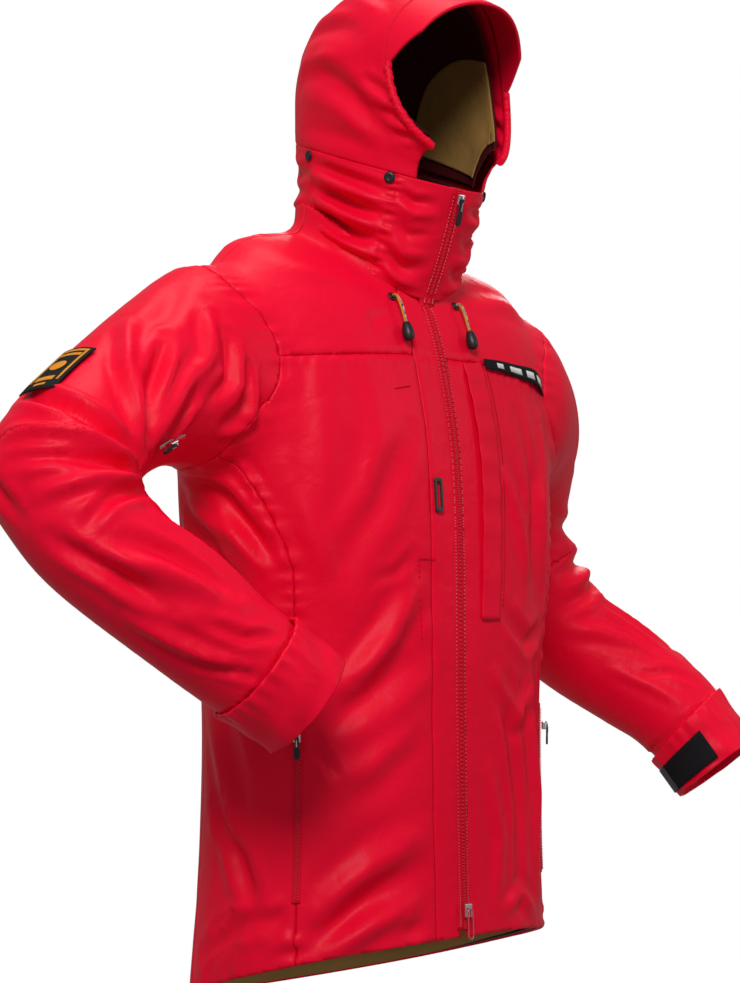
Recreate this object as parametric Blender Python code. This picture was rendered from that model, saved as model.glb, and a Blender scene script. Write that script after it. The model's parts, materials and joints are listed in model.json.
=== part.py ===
"""Hooded foul weather jacket, worn by nobody, arms posed as if a hand were in a pocket.

Metres. +X is the wearer's left, -Y is the front, +Z is up. The origin is the middle of the base of
the neck. Every separate piece is one closed body. Cloth panels stand clear of each other at the seams.
"""
import math

import bmesh
import bpy
from mathutils import Matrix, Vector

# ---- driving sizes -------------------------------------------------------------------------------
CLOTH = 0.0022          # wall of an outer panel, shell and backing together
LINING = 0.0012         # wall of the lining
LINING_IN = 0.0090      # how far the lining lies inside the outer panels
SEAM = 0.0006           # half of the clear gap at a seam
SQUARE = 2.35            # roundness of the body sections, 2 is an ellipse
HOOD_BOW = 0.030         # how far the sides of the face opening stand back, m
LABEL_SLOPE = 0.0148     # rings the label drops per degree round the body

# torso rings: front z, back z, half width, front y, back y, rise of the sides
TORSO = [
    (-0.056, 0.026, 0.086, -0.074, 0.078, 0.026),
    (-0.068, 0.006, 0.130, -0.080, 0.094, 0.040),
    (-0.088, -0.030, 0.180, -0.088, 0.108, 0.052),
    (-0.128, -0.095, 0.212, -0.100, 0.122, 0.050),
    (-0.205, -0.188, 0.226, -0.116, 0.136, 0.018),
    (-0.300, -0.300, 0.220, -0.122, 0.138, 0.000),
    (-0.450, -0.450, 0.198, -0.123, 0.128, 0.000),
    (-0.600, -0.606, 0.196, -0.125, 0.134, 0.000),
    (-0.692, -0.770, 0.202, -0.128, 0.146, 0.000),
]
# hood and collar loops: front (y, z), back (y, z), half width, rise of the sides
HOOD = [
    (-0.077, -0.052, 0.076, 0.030, 0.084, 0.024),
    (-0.098, -0.010, 0.078, 0.062, 0.084, 0.012),
    (-0.118, 0.040, 0.084, 0.110, 0.086, 0.004),
    (-0.126, 0.066, 0.086, 0.160, 0.089, 0.000),
    (-0.130, 0.070, 0.080, 0.220, 0.091, 0.000),
    (-0.134, 0.073, 0.046, 0.268, 0.091, 0.000),
    (-0.138, 0.075, -0.026, 0.288, 0.090, 0.000),
    (-0.142, 0.077, -0.106, 0.272, 0.086, 0.000),
    (-0.146, 0.078, -0.172, 0.236, 0.082, 0.000),
]
# sleeve sections: centre, outward direction, half height, half depth
RIGHT_ARM = [
    ((-0.184, 0.012, -0.146), (-0.99, 0.00, -0.10), 0.115, 0.078),
    ((-0.214, 0.010, -0.140), (-0.97, -0.02, -0.22), 0.114, 0.079),
    ((-0.262, 0.002, -0.152), (-0.93, -0.08, -0.35), 0.093, 0.078),
    ((-0.316, -0.010, -0.168), (-0.90, -0.15, -0.40), 0.073, 0.071),
    ((-0.376, -0.026, -0.206), (-0.80, -0.30, -0.50), 0.065, 0.065),
    ((-0.420, -0.046, -0.252), (-0.30, -0.43, -0.85), 0.070, 0.068),
    ((-0.412, -0.066, -0.292), (0.14, -0.42, -0.89), 0.063, 0.062),
    ((-0.388, -0.086, -0.325), (0.66, -0.34, -0.66), 0.058, 0.058),
    ((-0.342, -0.109, -0.366), (0.72, -0.29, -0.63), 0.056, 0.056),
    ((-0.289, -0.132, -0.410), (0.73, -0.29, -0.62), 0.054, 0.054),
    ((-0.229, -0.156, -0.455), (0.74, -0.29, -0.60), 0.053, 0.053),
]
RIGHT_SIDEWAYS = (-0.02, -0.875, 0.483)
LEFT_ARM = [
    ((0.184, 0.012, -0.146), (0.99, 0.00, -0.10), 0.115, 0.078),
    ((0.216, 0.018, -0.143), (0.94, 0.16, -0.28), 0.112, 0.079),
    ((0.264, 0.054, -0.160), (0.74, 0.42, -0.52), 0.089, 0.076),
    ((0.298, 0.094, -0.210), (0.46, 0.42, -0.78), 0.076, 0.076),
    ((0.314, 0.116, -0.270), (0.34, 0.18, -0.92), 0.074, 0.073),
    ((0.332, 0.110, -0.324), (0.42, -0.06, -0.90), 0.073, 0.071),
    ((0.360, 0.094, -0.368), (0.60, -0.38, -0.70), 0.069, 0.068),
    ((0.388, 0.064, -0.408), (0.66, -0.56, -0.50), 0.064, 0.064),
    ((0.423, 0.016, -0.449), (0.58, -0.66, -0.48), 0.060, 0.060),
    ((0.447, -0.032, -0.487), (0.44, -0.64, -0.63), 0.056, 0.056),
    ((0.469, -0.079, -0.553), (0.26, -0.55, -0.79), 0.054, 0.054),
]
LEFT_SIDEWAYS = (0.826, -0.165, 0.539)
ELBOW_CUT = 5.0          # where a sleeve is divided, counted in sections
ELBOW_GAP = 0.055        # half gap there, in sections
CUFF_FROM = 9.25         # where the cuff band begins, in sections
ARMHOLE = (0.012, -0.146, 0.086, 0.122)   # middle y, middle z, half depth, half height

# places on the torso: angle round from the front centre in degrees, ring number
YOKE_RING = 3.0
SIDE_FRONT = 62.0
SIDE_BACK = 112.0
UNDER_ARM = 4.0 
ZIP_TAPE = 0.021        # width of the two zip tapes together
ZIP_HALF = 0.0125        # half width kept free for the front zip
TOP_SLIDER = (0.95, 0.0034)      # place on the front line and height off it
BOTTOM_SLIDER = (13.55, 0.0034)
POCKET_DEG = 57.0        # hand pocket zips
POCKET_TOP = 6.15
POCKET_END = 7.35
CHEST_LOOP = (-5.0, 4.42)
CORD_FROM_MIDDLE = 0.045 # where the collar cords come out, from the middle of the front
PIT_ZIP = (3.55, 150.0)  # section and angle on the sleeve
TAB_RIGHT = 214.0        # angle on the cuff where the closing tab starts
TAB_LEFT = 202.0
STORM_EDGE = 0.036       # right-hand edge of the strip beside the zip, from the middle


def clear_scene():
    for ob in list(bpy.data.objects):
        bpy.data.objects.remove(ob, do_unlink=True)


def spline(rows, k):
    """Catmull-Rom through rows of numbers at the fractional row k."""
    k = min(max(k, 0.0), len(rows) - 1.0)
    i = min(int(k), len(rows) - 2)
    f = k - i
    a, b, c, d = (rows[min(max(j, 0), len(rows) - 1)] for j in (i - 1, i, i + 1, i + 2))
    out = []
    for p, q, r, s in zip(a, b, c, d):
        out.append(0.5 * (2 * q + (r - p) * f + (2 * p - 5 * q + 4 * r - s) * f * f
                          + (3 * q - p - 3 * r + s) * f ** 3))
    return out


def power(value, exponent):
    return math.copysign(abs(value) ** exponent, value)


def torso(deg, ring):
    """A point of the body. deg 0 is the front centre, 90 the wearer's left, 180 the back."""
    zf, zb, half, yf, yb, lift = spline(TORSO, ring)
    s = power(math.sin(math.radians(deg)), 2 / SQUARE)
    c = power(math.cos(math.radians(deg)), 2 / SQUARE)
    z = (zf + zb) / 2 + (zf - zb) / 2 * c + lift * s * s
    return Vector((half * s, (yf + yb) / 2 - (yb - yf) / 2 * c, z))


def hood(deg, ring):
    """A point of the collar and hood. deg 0 is the front centre, then round like the torso."""
    yf, zf, yb, zb, half, lift = spline(HOOD, ring)
    s = power(math.sin(math.radians(deg)), 2 / 2.2)
    c = power(math.cos(math.radians(deg)), 2 / 2.2)
    mid = Vector((0, (yf + yb) / 2, (zf + zb) / 2))
    arm = Vector((0, (yf - yb) / 2, (zf - zb) / 2))
    back = HOOD_BOW * min(max((ring - 4.0) / 3.0, 0.0), 1.0) ** 2
    return mid + arm * c + Vector((half * s, back * s * s, lift * s * s))


def sleeve(rows, deg, k):
    """A point of a sleeve. deg 0 is its upper side, 90 its front side."""
    flat = [tuple(c) + tuple(n) + (ru, rv) for c, n, ru, rv in rows]
    x, y, z, nx, ny, nz, ru, rv = spline(flat, k)
    n = Vector((nx, ny, nz)).normalized()
    right = rows is RIGHT_ARM
    turn = min(k / 4.0, 1.0)
    across = Vector((0, -1, 0)).lerp(Vector(RIGHT_SIDEWAYS if right else LEFT_SIDEWAYS), turn)
    across = (across - n * across.dot(n)).normalized()
    up = n.cross(across) if right else across.cross(n)
    a = math.radians(deg)
    return Vector((x, y, z)) + up * (ru * math.cos(a)) + across * (rv * math.sin(a))


def normal_of(surface, u, v, du, dv):
    a = surface(u + du, v) - surface(u - du, v)
    b = surface(u, v + dv) - surface(u, v - dv)
    return a.cross(b).normalized()


def make(name, bm):
    """The bmesh as an object whose faces all point outwards."""
    mesh = bpy.data.meshes.new(name)
    bm.normal_update()
    bmesh.ops.recalc_face_normals(bm, faces=bm.faces)
    if bm.calc_volume(signed=True) < 0:
        bmesh.ops.reverse_faces(bm, faces=bm.faces)
    bm.to_mesh(mesh)
    bm.free()
    ob = bpy.data.objects.new(name, mesh)
    bpy.context.scene.collection.objects.link(ob)
    return ob


def shell(name, surface, u0, u1, v0, v1, nu, nv, wall=CLOTH, rise=0.0, inside=None):
    """A cloth panel: the patch u0..u1, v0..v1 of a surface as one closed wall, rise above it.

    u0 and u1 may be functions of v, for an edge that keeps its distance from the middle.
    """
    outer, inner = [], []
    bm = bmesh.new()
    for i in range(nu + 1):
        out_col, in_col = [], []
        for j in range(nv + 1):
            v = v0 + (v1 - v0) * j / nv
            low = u0(v) if callable(u0) else u0
            high = u1(v) if callable(u1) else u1
            u = low + (high - low) * i / nu
            p = surface(u, v)
            n = normal_of(surface, u, v, 0.5, 0.02)
            if inside is not None and n.dot(p - inside) < 0:
                n = -n
            out_col.append(bm.verts.new(p + n * rise))
            in_col.append(bm.verts.new(p + n * (rise - wall)))
        outer.append(out_col)
        inner.append(in_col)
    for i in range(nu):
        k = i + 1
        for j in range(nv):
            bm.faces.new((outer[i][j], outer[k][j], outer[k][j + 1], outer[i][j + 1]))
            bm.faces.new((inner[i][j], inner[i][j + 1], inner[k][j + 1], inner[k][j]))
        for j in (0, nv):
            bm.faces.new((outer[i][j], inner[i][j], inner[k][j], outer[k][j]))
    for i in (0, nu):
        for j in range(nv):
            bm.faces.new((outer[i][j], outer[i][j + 1], inner[i][j + 1], inner[i][j]))
    return make(name, bm)


def from_middle(rows, exponent, column, distance, sign):
    """The angle, as a function of the ring, that keeps a distance from the middle of the front."""
    def angle(ring):
        share = min(distance / spline(rows, ring)[column], 1.0)
        return sign * math.degrees(math.asin(share ** (exponent / 2)))
    return angle


def cut(ob, cutter):
    mod = ob.modifiers.new("cut_" + cutter.name, 'BOOLEAN')
    mod.operation = 'DIFFERENCE'
    mod.solver = 'EXACT'
    mod.object = cutter


def oval_cutter(name, x0, x1, growth):
    """A long oval bar across X that opens an armhole."""
    y, z, half_y, half_z = ARMHOLE
    bm = bmesh.new()
    ends = []
    for x in (x0, x1):
        row = []
        for i in range(32):
            a = 2 * math.pi * i / 32
            row.append(bm.verts.new((x, y + (half_y + growth) * math.cos(a),
                                     z + (half_z + growth) * math.sin(a))))
        ends.append(row)
        bm.faces.new(row)
    for i in range(32):
        k = (i + 1) % 32
        bm.faces.new((ends[0][i], ends[0][k], ends[1][k], ends[1][i]))
    ob = make(name, bm)
    ob.hide_render = True
    ob.display_type = 'WIRE'
    return ob


def label_line(deg, ring):
    """The body again, with rings that fall toward the wearer's left arm."""
    return torso(deg, ring + LABEL_SLOPE * (deg - 14.0))


def place(surface, u, v, rise, spin=0.0, inside=None):
    """A frame on a surface: its Z axis leaves the surface, its Y axis runs against growing v."""
    n = normal_of(surface, u, v, 0.5, 0.02)
    p = surface(u, v)
    if inside is not None and n.dot(p - inside) < 0:
        n = -n
    along = (surface(u, v - 0.02) - surface(u, v + 0.02)).normalized()
    along = (along - n * along.dot(n)).normalized()
    side = along.cross(n)
    m = Matrix((side, along, n)).transposed().to_4x4()
    m.translation = p + n * rise
    return m @ Matrix.Rotation(math.radians(spin), 4, 'Z')


def block(name, m, size, middle=(0, 0, 0), bevel=0.0004):
    """A box with softened edges in the frame m."""
    bm = bmesh.new()
    bmesh.ops.create_cube(bm, size=1.0)
    for vert in bm.verts:
        vert.co = Vector((vert.co[i] * size[i] + middle[i] for i in range(3)))
    bmesh.ops.bevel(bm, geom=bm.edges[:], offset=bevel, segments=1, affect='EDGES')
    bm.transform(m)
    return make(name, bm)


def outline(name, m, points, thick, lift=0.0, bevel=0.0):
    """A flat plate of the given outline, thick along the frame's Z."""
    bm = bmesh.new()
    low = [bm.verts.new((x, y, lift)) for x, y in points]
    high = [bm.verts.new((x, y, lift + thick)) for x, y in points]
    bm.faces.new(low)
    bm.faces.new(high)
    for i in range(len(points)):
        k = (i + 1) % len(points)
        bm.faces.new((low[i], low[k], high[k], high[i]))
    if bevel:
        bmesh.ops.bevel(bm, geom=bm.edges[:], offset=bevel, segments=1, affect='EDGES')
    bm.transform(m)
    return make(name, bm)


def slot_plate(name, m, outer, hole, thick, lift=0.0, steps=3):
    """A rounded plate with a rounded hole through it. outer and hole are (w, l, cx, cy, radius)."""
    bm = bmesh.new()
    loops = []
    for w, l, cx, cy, r in (outer, hole):
        pts = []
        for q in range(4):
            sx = (1, -1, -1, 1)[q]
            sy = (1, 1, -1, -1)[q]
            for i in range(steps + 1):
                a = math.radians(90 * q + 90 * i / steps)
                pts.append((cx + sx * (w / 2 - r) + r * math.cos(a),
                            cy + sy * (l / 2 - r) + r * math.sin(a)))
        loops.append([[bm.verts.new((x, y, z)) for x, y in pts] for z in (lift, lift + thick)])
    n = len(loops[0][0])
    for i in range(n):
        k = (i + 1) % n
        (a0, a1), (b0, b1) = loops
        bm.faces.new((a0[i], a0[k], a1[k], a1[i]))
        bm.faces.new((b0[i], b1[i], b1[k], b0[k]))
        bm.faces.new((a0[i], b0[i], b0[k], a0[k]))
        bm.faces.new((a1[i], a1[k], b1[k], b1[i]))
    bm.transform(m)
    return make(name, bm)


def turned(name, m, profile, steps=20):
    """A body of revolution about the frame's Z from (radius, z) points, closed at both ends."""
    bm = bmesh.new()
    rings = []
    for r, z in profile:
        rings.append([bm.verts.new((r * math.cos(2 * math.pi * i / steps),
                                    r * math.sin(2 * math.pi * i / steps), z))
                      for i in range(steps)])
    for a, b in zip(rings, rings[1:]):
        for i in range(steps):
            k = (i + 1) % steps
            bm.faces.new((a[i], a[k], b[k], b[i]))
    bm.faces.new(rings[0])
    bm.faces.new(rings[-1])
    bm.transform(m)
    return make(name, bm)


def tube(name, points, radius, sides=8, closed=False):
    """A round cord along points."""
    pts = [Vector(p) for p in points]
    bm = bmesh.new()
    rings = []
    n = len(pts)
    up = None
    for i, p in enumerate(pts):
        a = pts[(i - 1) % n] if closed or i else p
        b = pts[(i + 1) % n] if closed or i < n - 1 else p
        d = (b - a).normalized()
        if up is None:
            up = d.orthogonal().normalized()
        up = (up - d * up.dot(d)).normalized()
        side = d.cross(up)
        rings.append([bm.verts.new(p + (up * math.cos(2 * math.pi * k / sides)
                                        + side * math.sin(2 * math.pi * k / sides)) * radius)
                      for k in range(sides)])
    last = n if closed else n - 1
    for i in range(last):
        a, b = rings[i], rings[(i + 1) % n]
        for k in range(sides):
            q = (k + 1) % sides
            bm.faces.new((a[k], a[q], b[q], b[k]))
    if not closed:
        bm.faces.new(rings[0])
        bm.faces.new(rings[-1])
    return make(name, bm)


MID = Vector((0, 0.01, -0.35))


def torso_pieces():
    right_hole = oval_cutter("armhole_cutter_right", -0.42, -0.10, 0.0)
    left_hole = oval_cutter("armhole_cutter_left", 0.10, 0.42, 0.0)
    g = 0.35
    last = len(TORSO) - 1.0
    for side, sign, hole in (("left", 1, left_hole), ("right", -1, right_hole)):
        distance = STORM_EDGE + 2 * SEAM if side == "right" else ZIP_HALF
        edge = from_middle(TORSO, SQUARE, 2, distance, sign)
        panel = shell("front_panel_" + side, torso, edge, sign * (SIDE_FRONT - g),
                      YOKE_RING + 0.012, last, 7, 10, inside=MID)
        yoke = shell("front_yoke_" + side, torso, edge, sign * (88 - g), 0.10,
                     YOKE_RING - 0.012, 8, 4, inside=MID)
        cut(panel, hole)
        cut(yoke, hole)
        shell("side_panel_" + side, torso, sign * (SIDE_FRONT + g), sign * (SIDE_BACK - g),
              UNDER_ARM, last, 5, 9, inside=MID)
        cut(bpy.data.objects["side_panel_" + side], hole)
    back = shell("back_panel", torso, SIDE_BACK + g, 360 - SIDE_BACK - g, 3.2, last, 14, 9,
                 inside=MID)
    yoke = shell("back_yoke", torso, 88 + g, 272 - g, 0.10, 3.18, 16, 4, inside=MID)
    for ob in (back, yoke):
        cut(ob, right_hole)
        cut(ob, left_hole)
    lining = shell("body_lining", torso, 7, 353, 0.25, last - 0.12, 18, 7, wall=LINING,
                   rise=-LINING_IN, inside=MID)
    wide_right = oval_cutter("lining_cutter_right", -0.42, -0.06, 0.004)
    wide_left = oval_cutter("lining_cutter_left", 0.06, 0.42, 0.004)
    cut(lining, wide_right)
    cut(lining, wide_left)


def front_line(start, end, count, rise):
    """Points down the middle of the front: start 0 is the top of the collar, end 14 the hem."""
    out = []
    for i in range(count + 1):
        t = start + (end - start) * i / count
        if t < 4:
            p = hood(0, 2.85 - 2.7 * t / 4)
        else:
            p = torso(0, 0.12 + (t - 4) * 0.785)
        out.append(p + Vector((0, -rise, 0)))
    return out


def front_frame(t, rise):
    """A frame on the front line at t: Z forward, Y up along the zip."""
    a, b = front_line(t - 0.15, t + 0.15, 1, 0.0)
    along = (a - b).normalized()
    side = Vector((1, 0, 0))
    out = side.cross(along)
    m = Matrix((side, along, out)).transposed().to_4x4()
    m.translation = (a + b) / 2 + out * rise
    return m


def front_closure():
    shell("storm_strip", torso, from_middle(TORSO, SQUARE, 2, ZIP_HALF, -1),
          from_middle(TORSO, SQUARE, 2, STORM_EDGE, -1), 0.10, 7.97, 1, 18, inside=MID)
    points = front_line(0.4, 13.9, 24, 0.0)
    normals = [Vector((0, -1, 0))] * len(points)
    strap("zip_tape", points, normals, ZIP_TAPE, 0.0010)
    strap("zip_coil", [p + Vector((0, -0.0021, 0)) for p in points], normals, 0.0058, 0.0020)


def strap(name, points, normals, width, thick):
    """A flat band along points, standing out along normals."""
    bm = bmesh.new()
    rows = []
    for i, (p, n) in enumerate(zip(points, normals)):
        d = (points[min(i + 1, len(points) - 1)] - points[max(i - 1, 0)]).normalized()
        s = d.cross(n).normalized() * (width / 2)
        n = s.cross(d).normalized() * (thick / 2)
        rows.append([bm.verts.new(p + q) for q in (-s - n, s - n, s + n, -s + n)])
    for a, b in zip(rows, rows[1:]):
        for k in range(4):
            q = (k + 1) % 4
            bm.faces.new((a[k], a[q], b[q], b[k]))
    bm.faces.new(rows[0])
    bm.faces.new(rows[-1])
    return make(name, bm)


HOOD_MID = Vector((0, 0.0, 0.12))


def hood_pieces():
    seam = 2.55
    top = len(HOOD) - 1.0
    for side, sign in (("left", 1), ("right", -1)):
        shell("collar_" + side, hood, from_middle(HOOD, 2.2, 4, ZIP_HALF, sign), sign * 179.6,
              0.14, seam - 0.02, 10, 4, inside=HOOD_MID)
        shell("hood_side_" + side, hood, sign * 34, sign * 148.5, seam + 0.02, 7.3, 7, 9,
              inside=HOOD_MID)
    shell("hood_crown", hood, 149.5, 210.5, seam + 0.02, 7.3, 4, 10, inside=HOOD_MID)
    shell("visor", hood, 94, 266, 7.34, top, 12, 2, wall=0.0032, inside=HOOD_MID)
    shell("hood_lining", hood, 42, 318, seam + 0.15, 7.0, 14, 7, wall=LINING, rise=-LINING_IN,
          inside=HOOD_MID)
    shell("collar_lining", hood, 24, 336, 0.6, seam - 0.15, 14, 2, wall=LINING, rise=-LINING_IN,
          inside=HOOD_MID)


def sleeve_pieces():
    for side, rows in (("right", RIGHT_ARM), ("left", LEFT_ARM)):
        def surface(deg, k, rows=rows):
            return sleeve(rows, deg, k)

        def wall(name, v0, v1, nv, rise, thick):
            bm = bmesh.new()
            rings = []
            steps = 18
            for j in range(nv + 1):
                v = v0 + (v1 - v0) * j / nv
                c = Vector(spline([tuple(r[0]) for r in rows], v))
                for grow in (rise, rise - thick):
                    ring = []
                    for i in range(steps):
                        p = surface(360 * i / steps, v)
                        ring.append(bm.verts.new(p + (p - c).normalized() * grow))
                    rings.append(ring)
            for j in range(nv):
                for i in range(steps):
                    k = (i + 1) % steps
                    a, b, c2, d = rings[2 * j], rings[2 * j + 1], rings[2 * j + 2], rings[2 * j + 3]
                    bm.faces.new((a[i], a[k], c2[k], c2[i]))
                    bm.faces.new((b[i], d[i], d[k], b[k]))
            for j in (0, nv):
                a, b = rings[2 * j], rings[2 * j + 1]
                for i in range(steps):
                    k = (i + 1) % steps
                    bm.faces.new((a[i], b[i], b[k], a[k]))
            return make(name, bm)

        wall("upper_sleeve_" + side, 0.0, ELBOW_CUT - ELBOW_GAP, 8, 0.0, CLOTH)
        wall("forearm_" + side, ELBOW_CUT + ELBOW_GAP, CUFF_FROM, 6, 0.0, CLOTH)
        wall("cuff_" + side, CUFF_FROM + 0.02, 10.0, 2, 0.0012, 0.0036)


def zip_runner(name, m, wide=0.0084, long=0.0110, pull_wide=0.0066, pull_long=0.026):
    """A zip slider and its puller, lying down along the zip."""
    block(name + "_slider", m, (wide, long, 0.0042), (0, 0, 0.0025))
    half = pull_wide / 2
    top = 0.0015
    shape = [(-half * 0.6, top), (half * 0.6, top), (half * 0.7, top - pull_long * 0.35),
             (half, top - pull_long * 0.55), (half, top - pull_long * 0.92),
             (half * 0.6, top - pull_long), (-half * 0.6, top - pull_long),
             (-half, top - pull_long * 0.92), (-half, top - pull_long * 0.55),
             (-half * 0.7, top - pull_long * 0.35)]
    outline(name + "_puller", m, shape, 0.0020, lift=0.0052)


def band(name, surface, u, v0, v1, count, width, thick, rise, inside):
    """A flat strip lying on a surface along a line of constant u."""
    points, normals = [], []
    for i in range(count + 1):
        m = place(surface, u, v0 + (v1 - v0) * i / count, rise, inside=inside)
        points.append(m.translation.copy())
        normals.append(m.to_3x3() @ Vector((0, 0, 1)))
    return strap(name, points, normals, width, thick)


def hardware():
    zip_runner("main_zip_top", front_frame(*TOP_SLIDER), pull_long=0.028)
    m = front_frame(*BOTTOM_SLIDER)
    block("main_zip_bottom_slider", m, (0.0094, 0.0130, 0.0046), (0, 0, 0.0026))
    slot_plate("main_zip_bottom_loop", m, (0.0080, 0.0300, 0, -0.0130, 0.0038),
               (0.0050, 0.0262, 0, -0.0130, 0.0023), 0.0016, lift=0.0056)
    for side, sign in (("right", -1), ("left", 1)):
        band("hand_pocket_zip_" + side, torso, sign * POCKET_DEG, POCKET_TOP, POCKET_END, 10, 0.0100,
             0.0016, 0.0014, MID)
        m = place(torso, sign * POCKET_DEG, POCKET_TOP + 0.12, 0.0027, inside=MID)
        zip_runner("hand_pocket_" + side, m, 0.0072, 0.0090, 0.0060, 0.0220)
    m = place(torso, *CHEST_LOOP, 0.0012, inside=MID)
    slot_plate("chest_zip_loop", m, (0.0100, 0.0340, 0, -0.0150, 0.0030),
               (0.0052, 0.0270, 0, -0.0150, 0.0018), 0.0026)
    shell("chest_pocket_flap", torso, 6.2, 13.2, 3.06, 5.62, 2, 10, wall=0.0016, rise=0.0026,
          inside=MID)
    shell("chest_label", label_line, 14.2, 53.0, 2.73, 2.93, 8, 1, wall=0.0010, rise=0.0022, inside=MID)
    for name, deg in (("front_right", -47), ("rear_right", -104), ("front_left", 47),
                      ("rear_left", 104)):
        m = place(hood, deg, 2.36, 0.0006, inside=HOOD_MID)
        turned("press_stud_" + name, m, [(0.0046, 0), (0.0058, 0.0009), (0.0058, 0.0019),
                                         (0.0044, 0.0030), (0.0020, 0.0034)], 14)


def drawcords():
    """Collar drawcords: each comes out of an eyelet, hangs and ends in a toggle."""
    for side, sign in (("right", -1), ("left", 1)):
        across = from_middle(TORSO, SQUARE, 2, CORD_FROM_MIDDLE, sign)
        m = place(torso, across(0.5), 0.5, 0.0006, inside=MID)
        turned("cord_eyelet_" + side, m, [(0.0035, 0), (0.0050, 0.0005), (0.0050, 0.0014),
                                          (0.0036, 0.0020)], 14)
        start = m @ Vector((0, 0, 0.0044))
        pts = [start]
        for ring, height in ((0.75, 0.0080), (1.15, 0.0085), (1.55, 0.0080), (1.95, 0.0075)):
            pts.append(place(torso, across(ring), ring, height, inside=MID).translation.copy())
        low = pts[-1]
        d = (pts[-1] - pts[-2]).normalized()
        out = place(torso, across(1.95), 1.95, 0, inside=MID).to_3x3() @ Vector((0, 0, 1))
        tube("drawcord_" + side, pts, 0.0014, 6)
        side_axis = d.cross(out).normalized()
        frame = Matrix((side_axis, d.cross(side_axis) * -1, d)).transposed().to_4x4()
        frame.translation = low + d * 0.0006
        turned("toggle_" + side, frame, [(0.0026, 0), (0.0042, 0.0012), (0.0058, 0.0080),
                                         (0.0060, 0.0140), (0.0048, 0.0186), (0.0024, 0.0204)], 12)


def sleeve_details():
    def on_right(deg, k):
        return sleeve(RIGHT_ARM, deg, k)

    def on_left(deg, k):
        return sleeve(LEFT_ARM, deg, k)

    for side, surface, rows, start in (("right", on_right, RIGHT_ARM, TAB_RIGHT),
                                       ("left", on_left, LEFT_ARM, TAB_LEFT)):
        middle = Vector(rows[10][0]).lerp(Vector(rows[9][0]), 0.5)
        shell("cuff_tab_" + side, surface, start, start + 84, 9.44, 9.88, 8, 2, wall=0.0024,
              rise=0.0046, inside=middle)
    k, deg = PIT_ZIP
    m = place(on_right, deg, k, 0.0030, inside=Vector(spline([tuple(r[0]) for r in RIGHT_ARM], k)))
    zip_runner("pit_zip", m, 0.0072, 0.0100, 0.0062, 0.0200)
    arm = Vector(RIGHT_ARM[3][0]).lerp(Vector(RIGHT_ARM[4][0]), 0.5)
    shell("arm_badge", on_right, 14, 46, 3.72, 4.46, 5, 4, wall=0.0012, rise=0.0024, inside=arm)


def inside_pieces():
    cord = []
    for i in range(29):
        m = place(torso, 14 + 332 * i / 28, 7.94, -0.0078, inside=MID)
        cord.append(m.translation.copy())
    tube("hem_drawcord", cord, 0.0014, 6)
    for side, deg in (("right", -34), ("left", 34)):
        m = place(torso, deg, 7.80, -0.0225, inside=MID)
        block("hem_cord_lock_" + side, m, (0.016, 0.018, 0.010), (0, 0, 0.0), 0.0015)
    loop = []
    for i in range(9):
        a = math.pi * i / 8
        loop.append(torso(180, 0.1) + Vector((-0.030 * math.cos(a), -0.0125 - 0.004 * math.sin(a),
                                              -0.012 - 0.018 * math.sin(a))))
    strap("hanger_loop", loop, [Vector((0, -1, 0))] * 9, 0.0060, 0.0016)
    for side, sign in (("left", 1), ("right", -1)):
        line = []
        for i in range(13):
            line.append(hood(sign * (38 + 52 * i / 12), 7.30) + Vector((0, -0.0052, 0)))
        tube("face_channel_" + side, line, 0.0042, 6)


clear_scene()
torso_pieces()
front_closure()
hood_pieces()
sleeve_pieces()
hardware()
drawcords()
sleeve_details()
inside_pieces()
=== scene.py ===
import json
import math

import bmesh
import bpy
import numpy as np
from mathutils import Matrix, Vector

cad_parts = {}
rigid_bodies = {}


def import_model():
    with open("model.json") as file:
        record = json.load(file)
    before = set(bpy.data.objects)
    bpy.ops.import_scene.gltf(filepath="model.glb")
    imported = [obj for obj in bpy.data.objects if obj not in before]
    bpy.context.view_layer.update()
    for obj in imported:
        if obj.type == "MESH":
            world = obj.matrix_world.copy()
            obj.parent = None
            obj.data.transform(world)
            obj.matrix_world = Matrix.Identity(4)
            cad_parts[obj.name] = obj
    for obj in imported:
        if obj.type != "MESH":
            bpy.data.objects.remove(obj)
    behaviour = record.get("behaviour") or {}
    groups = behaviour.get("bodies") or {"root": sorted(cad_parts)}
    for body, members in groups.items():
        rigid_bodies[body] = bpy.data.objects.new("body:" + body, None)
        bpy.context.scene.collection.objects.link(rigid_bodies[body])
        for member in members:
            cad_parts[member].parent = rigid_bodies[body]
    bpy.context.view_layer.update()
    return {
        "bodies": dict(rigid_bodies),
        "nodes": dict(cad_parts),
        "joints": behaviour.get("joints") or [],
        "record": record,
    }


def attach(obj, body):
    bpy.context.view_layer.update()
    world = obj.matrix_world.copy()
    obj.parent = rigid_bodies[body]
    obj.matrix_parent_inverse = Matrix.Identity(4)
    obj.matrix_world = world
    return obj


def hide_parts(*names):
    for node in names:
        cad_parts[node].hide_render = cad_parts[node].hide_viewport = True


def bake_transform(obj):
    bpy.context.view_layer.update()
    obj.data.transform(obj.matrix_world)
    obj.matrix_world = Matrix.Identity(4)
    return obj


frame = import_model()

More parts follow.
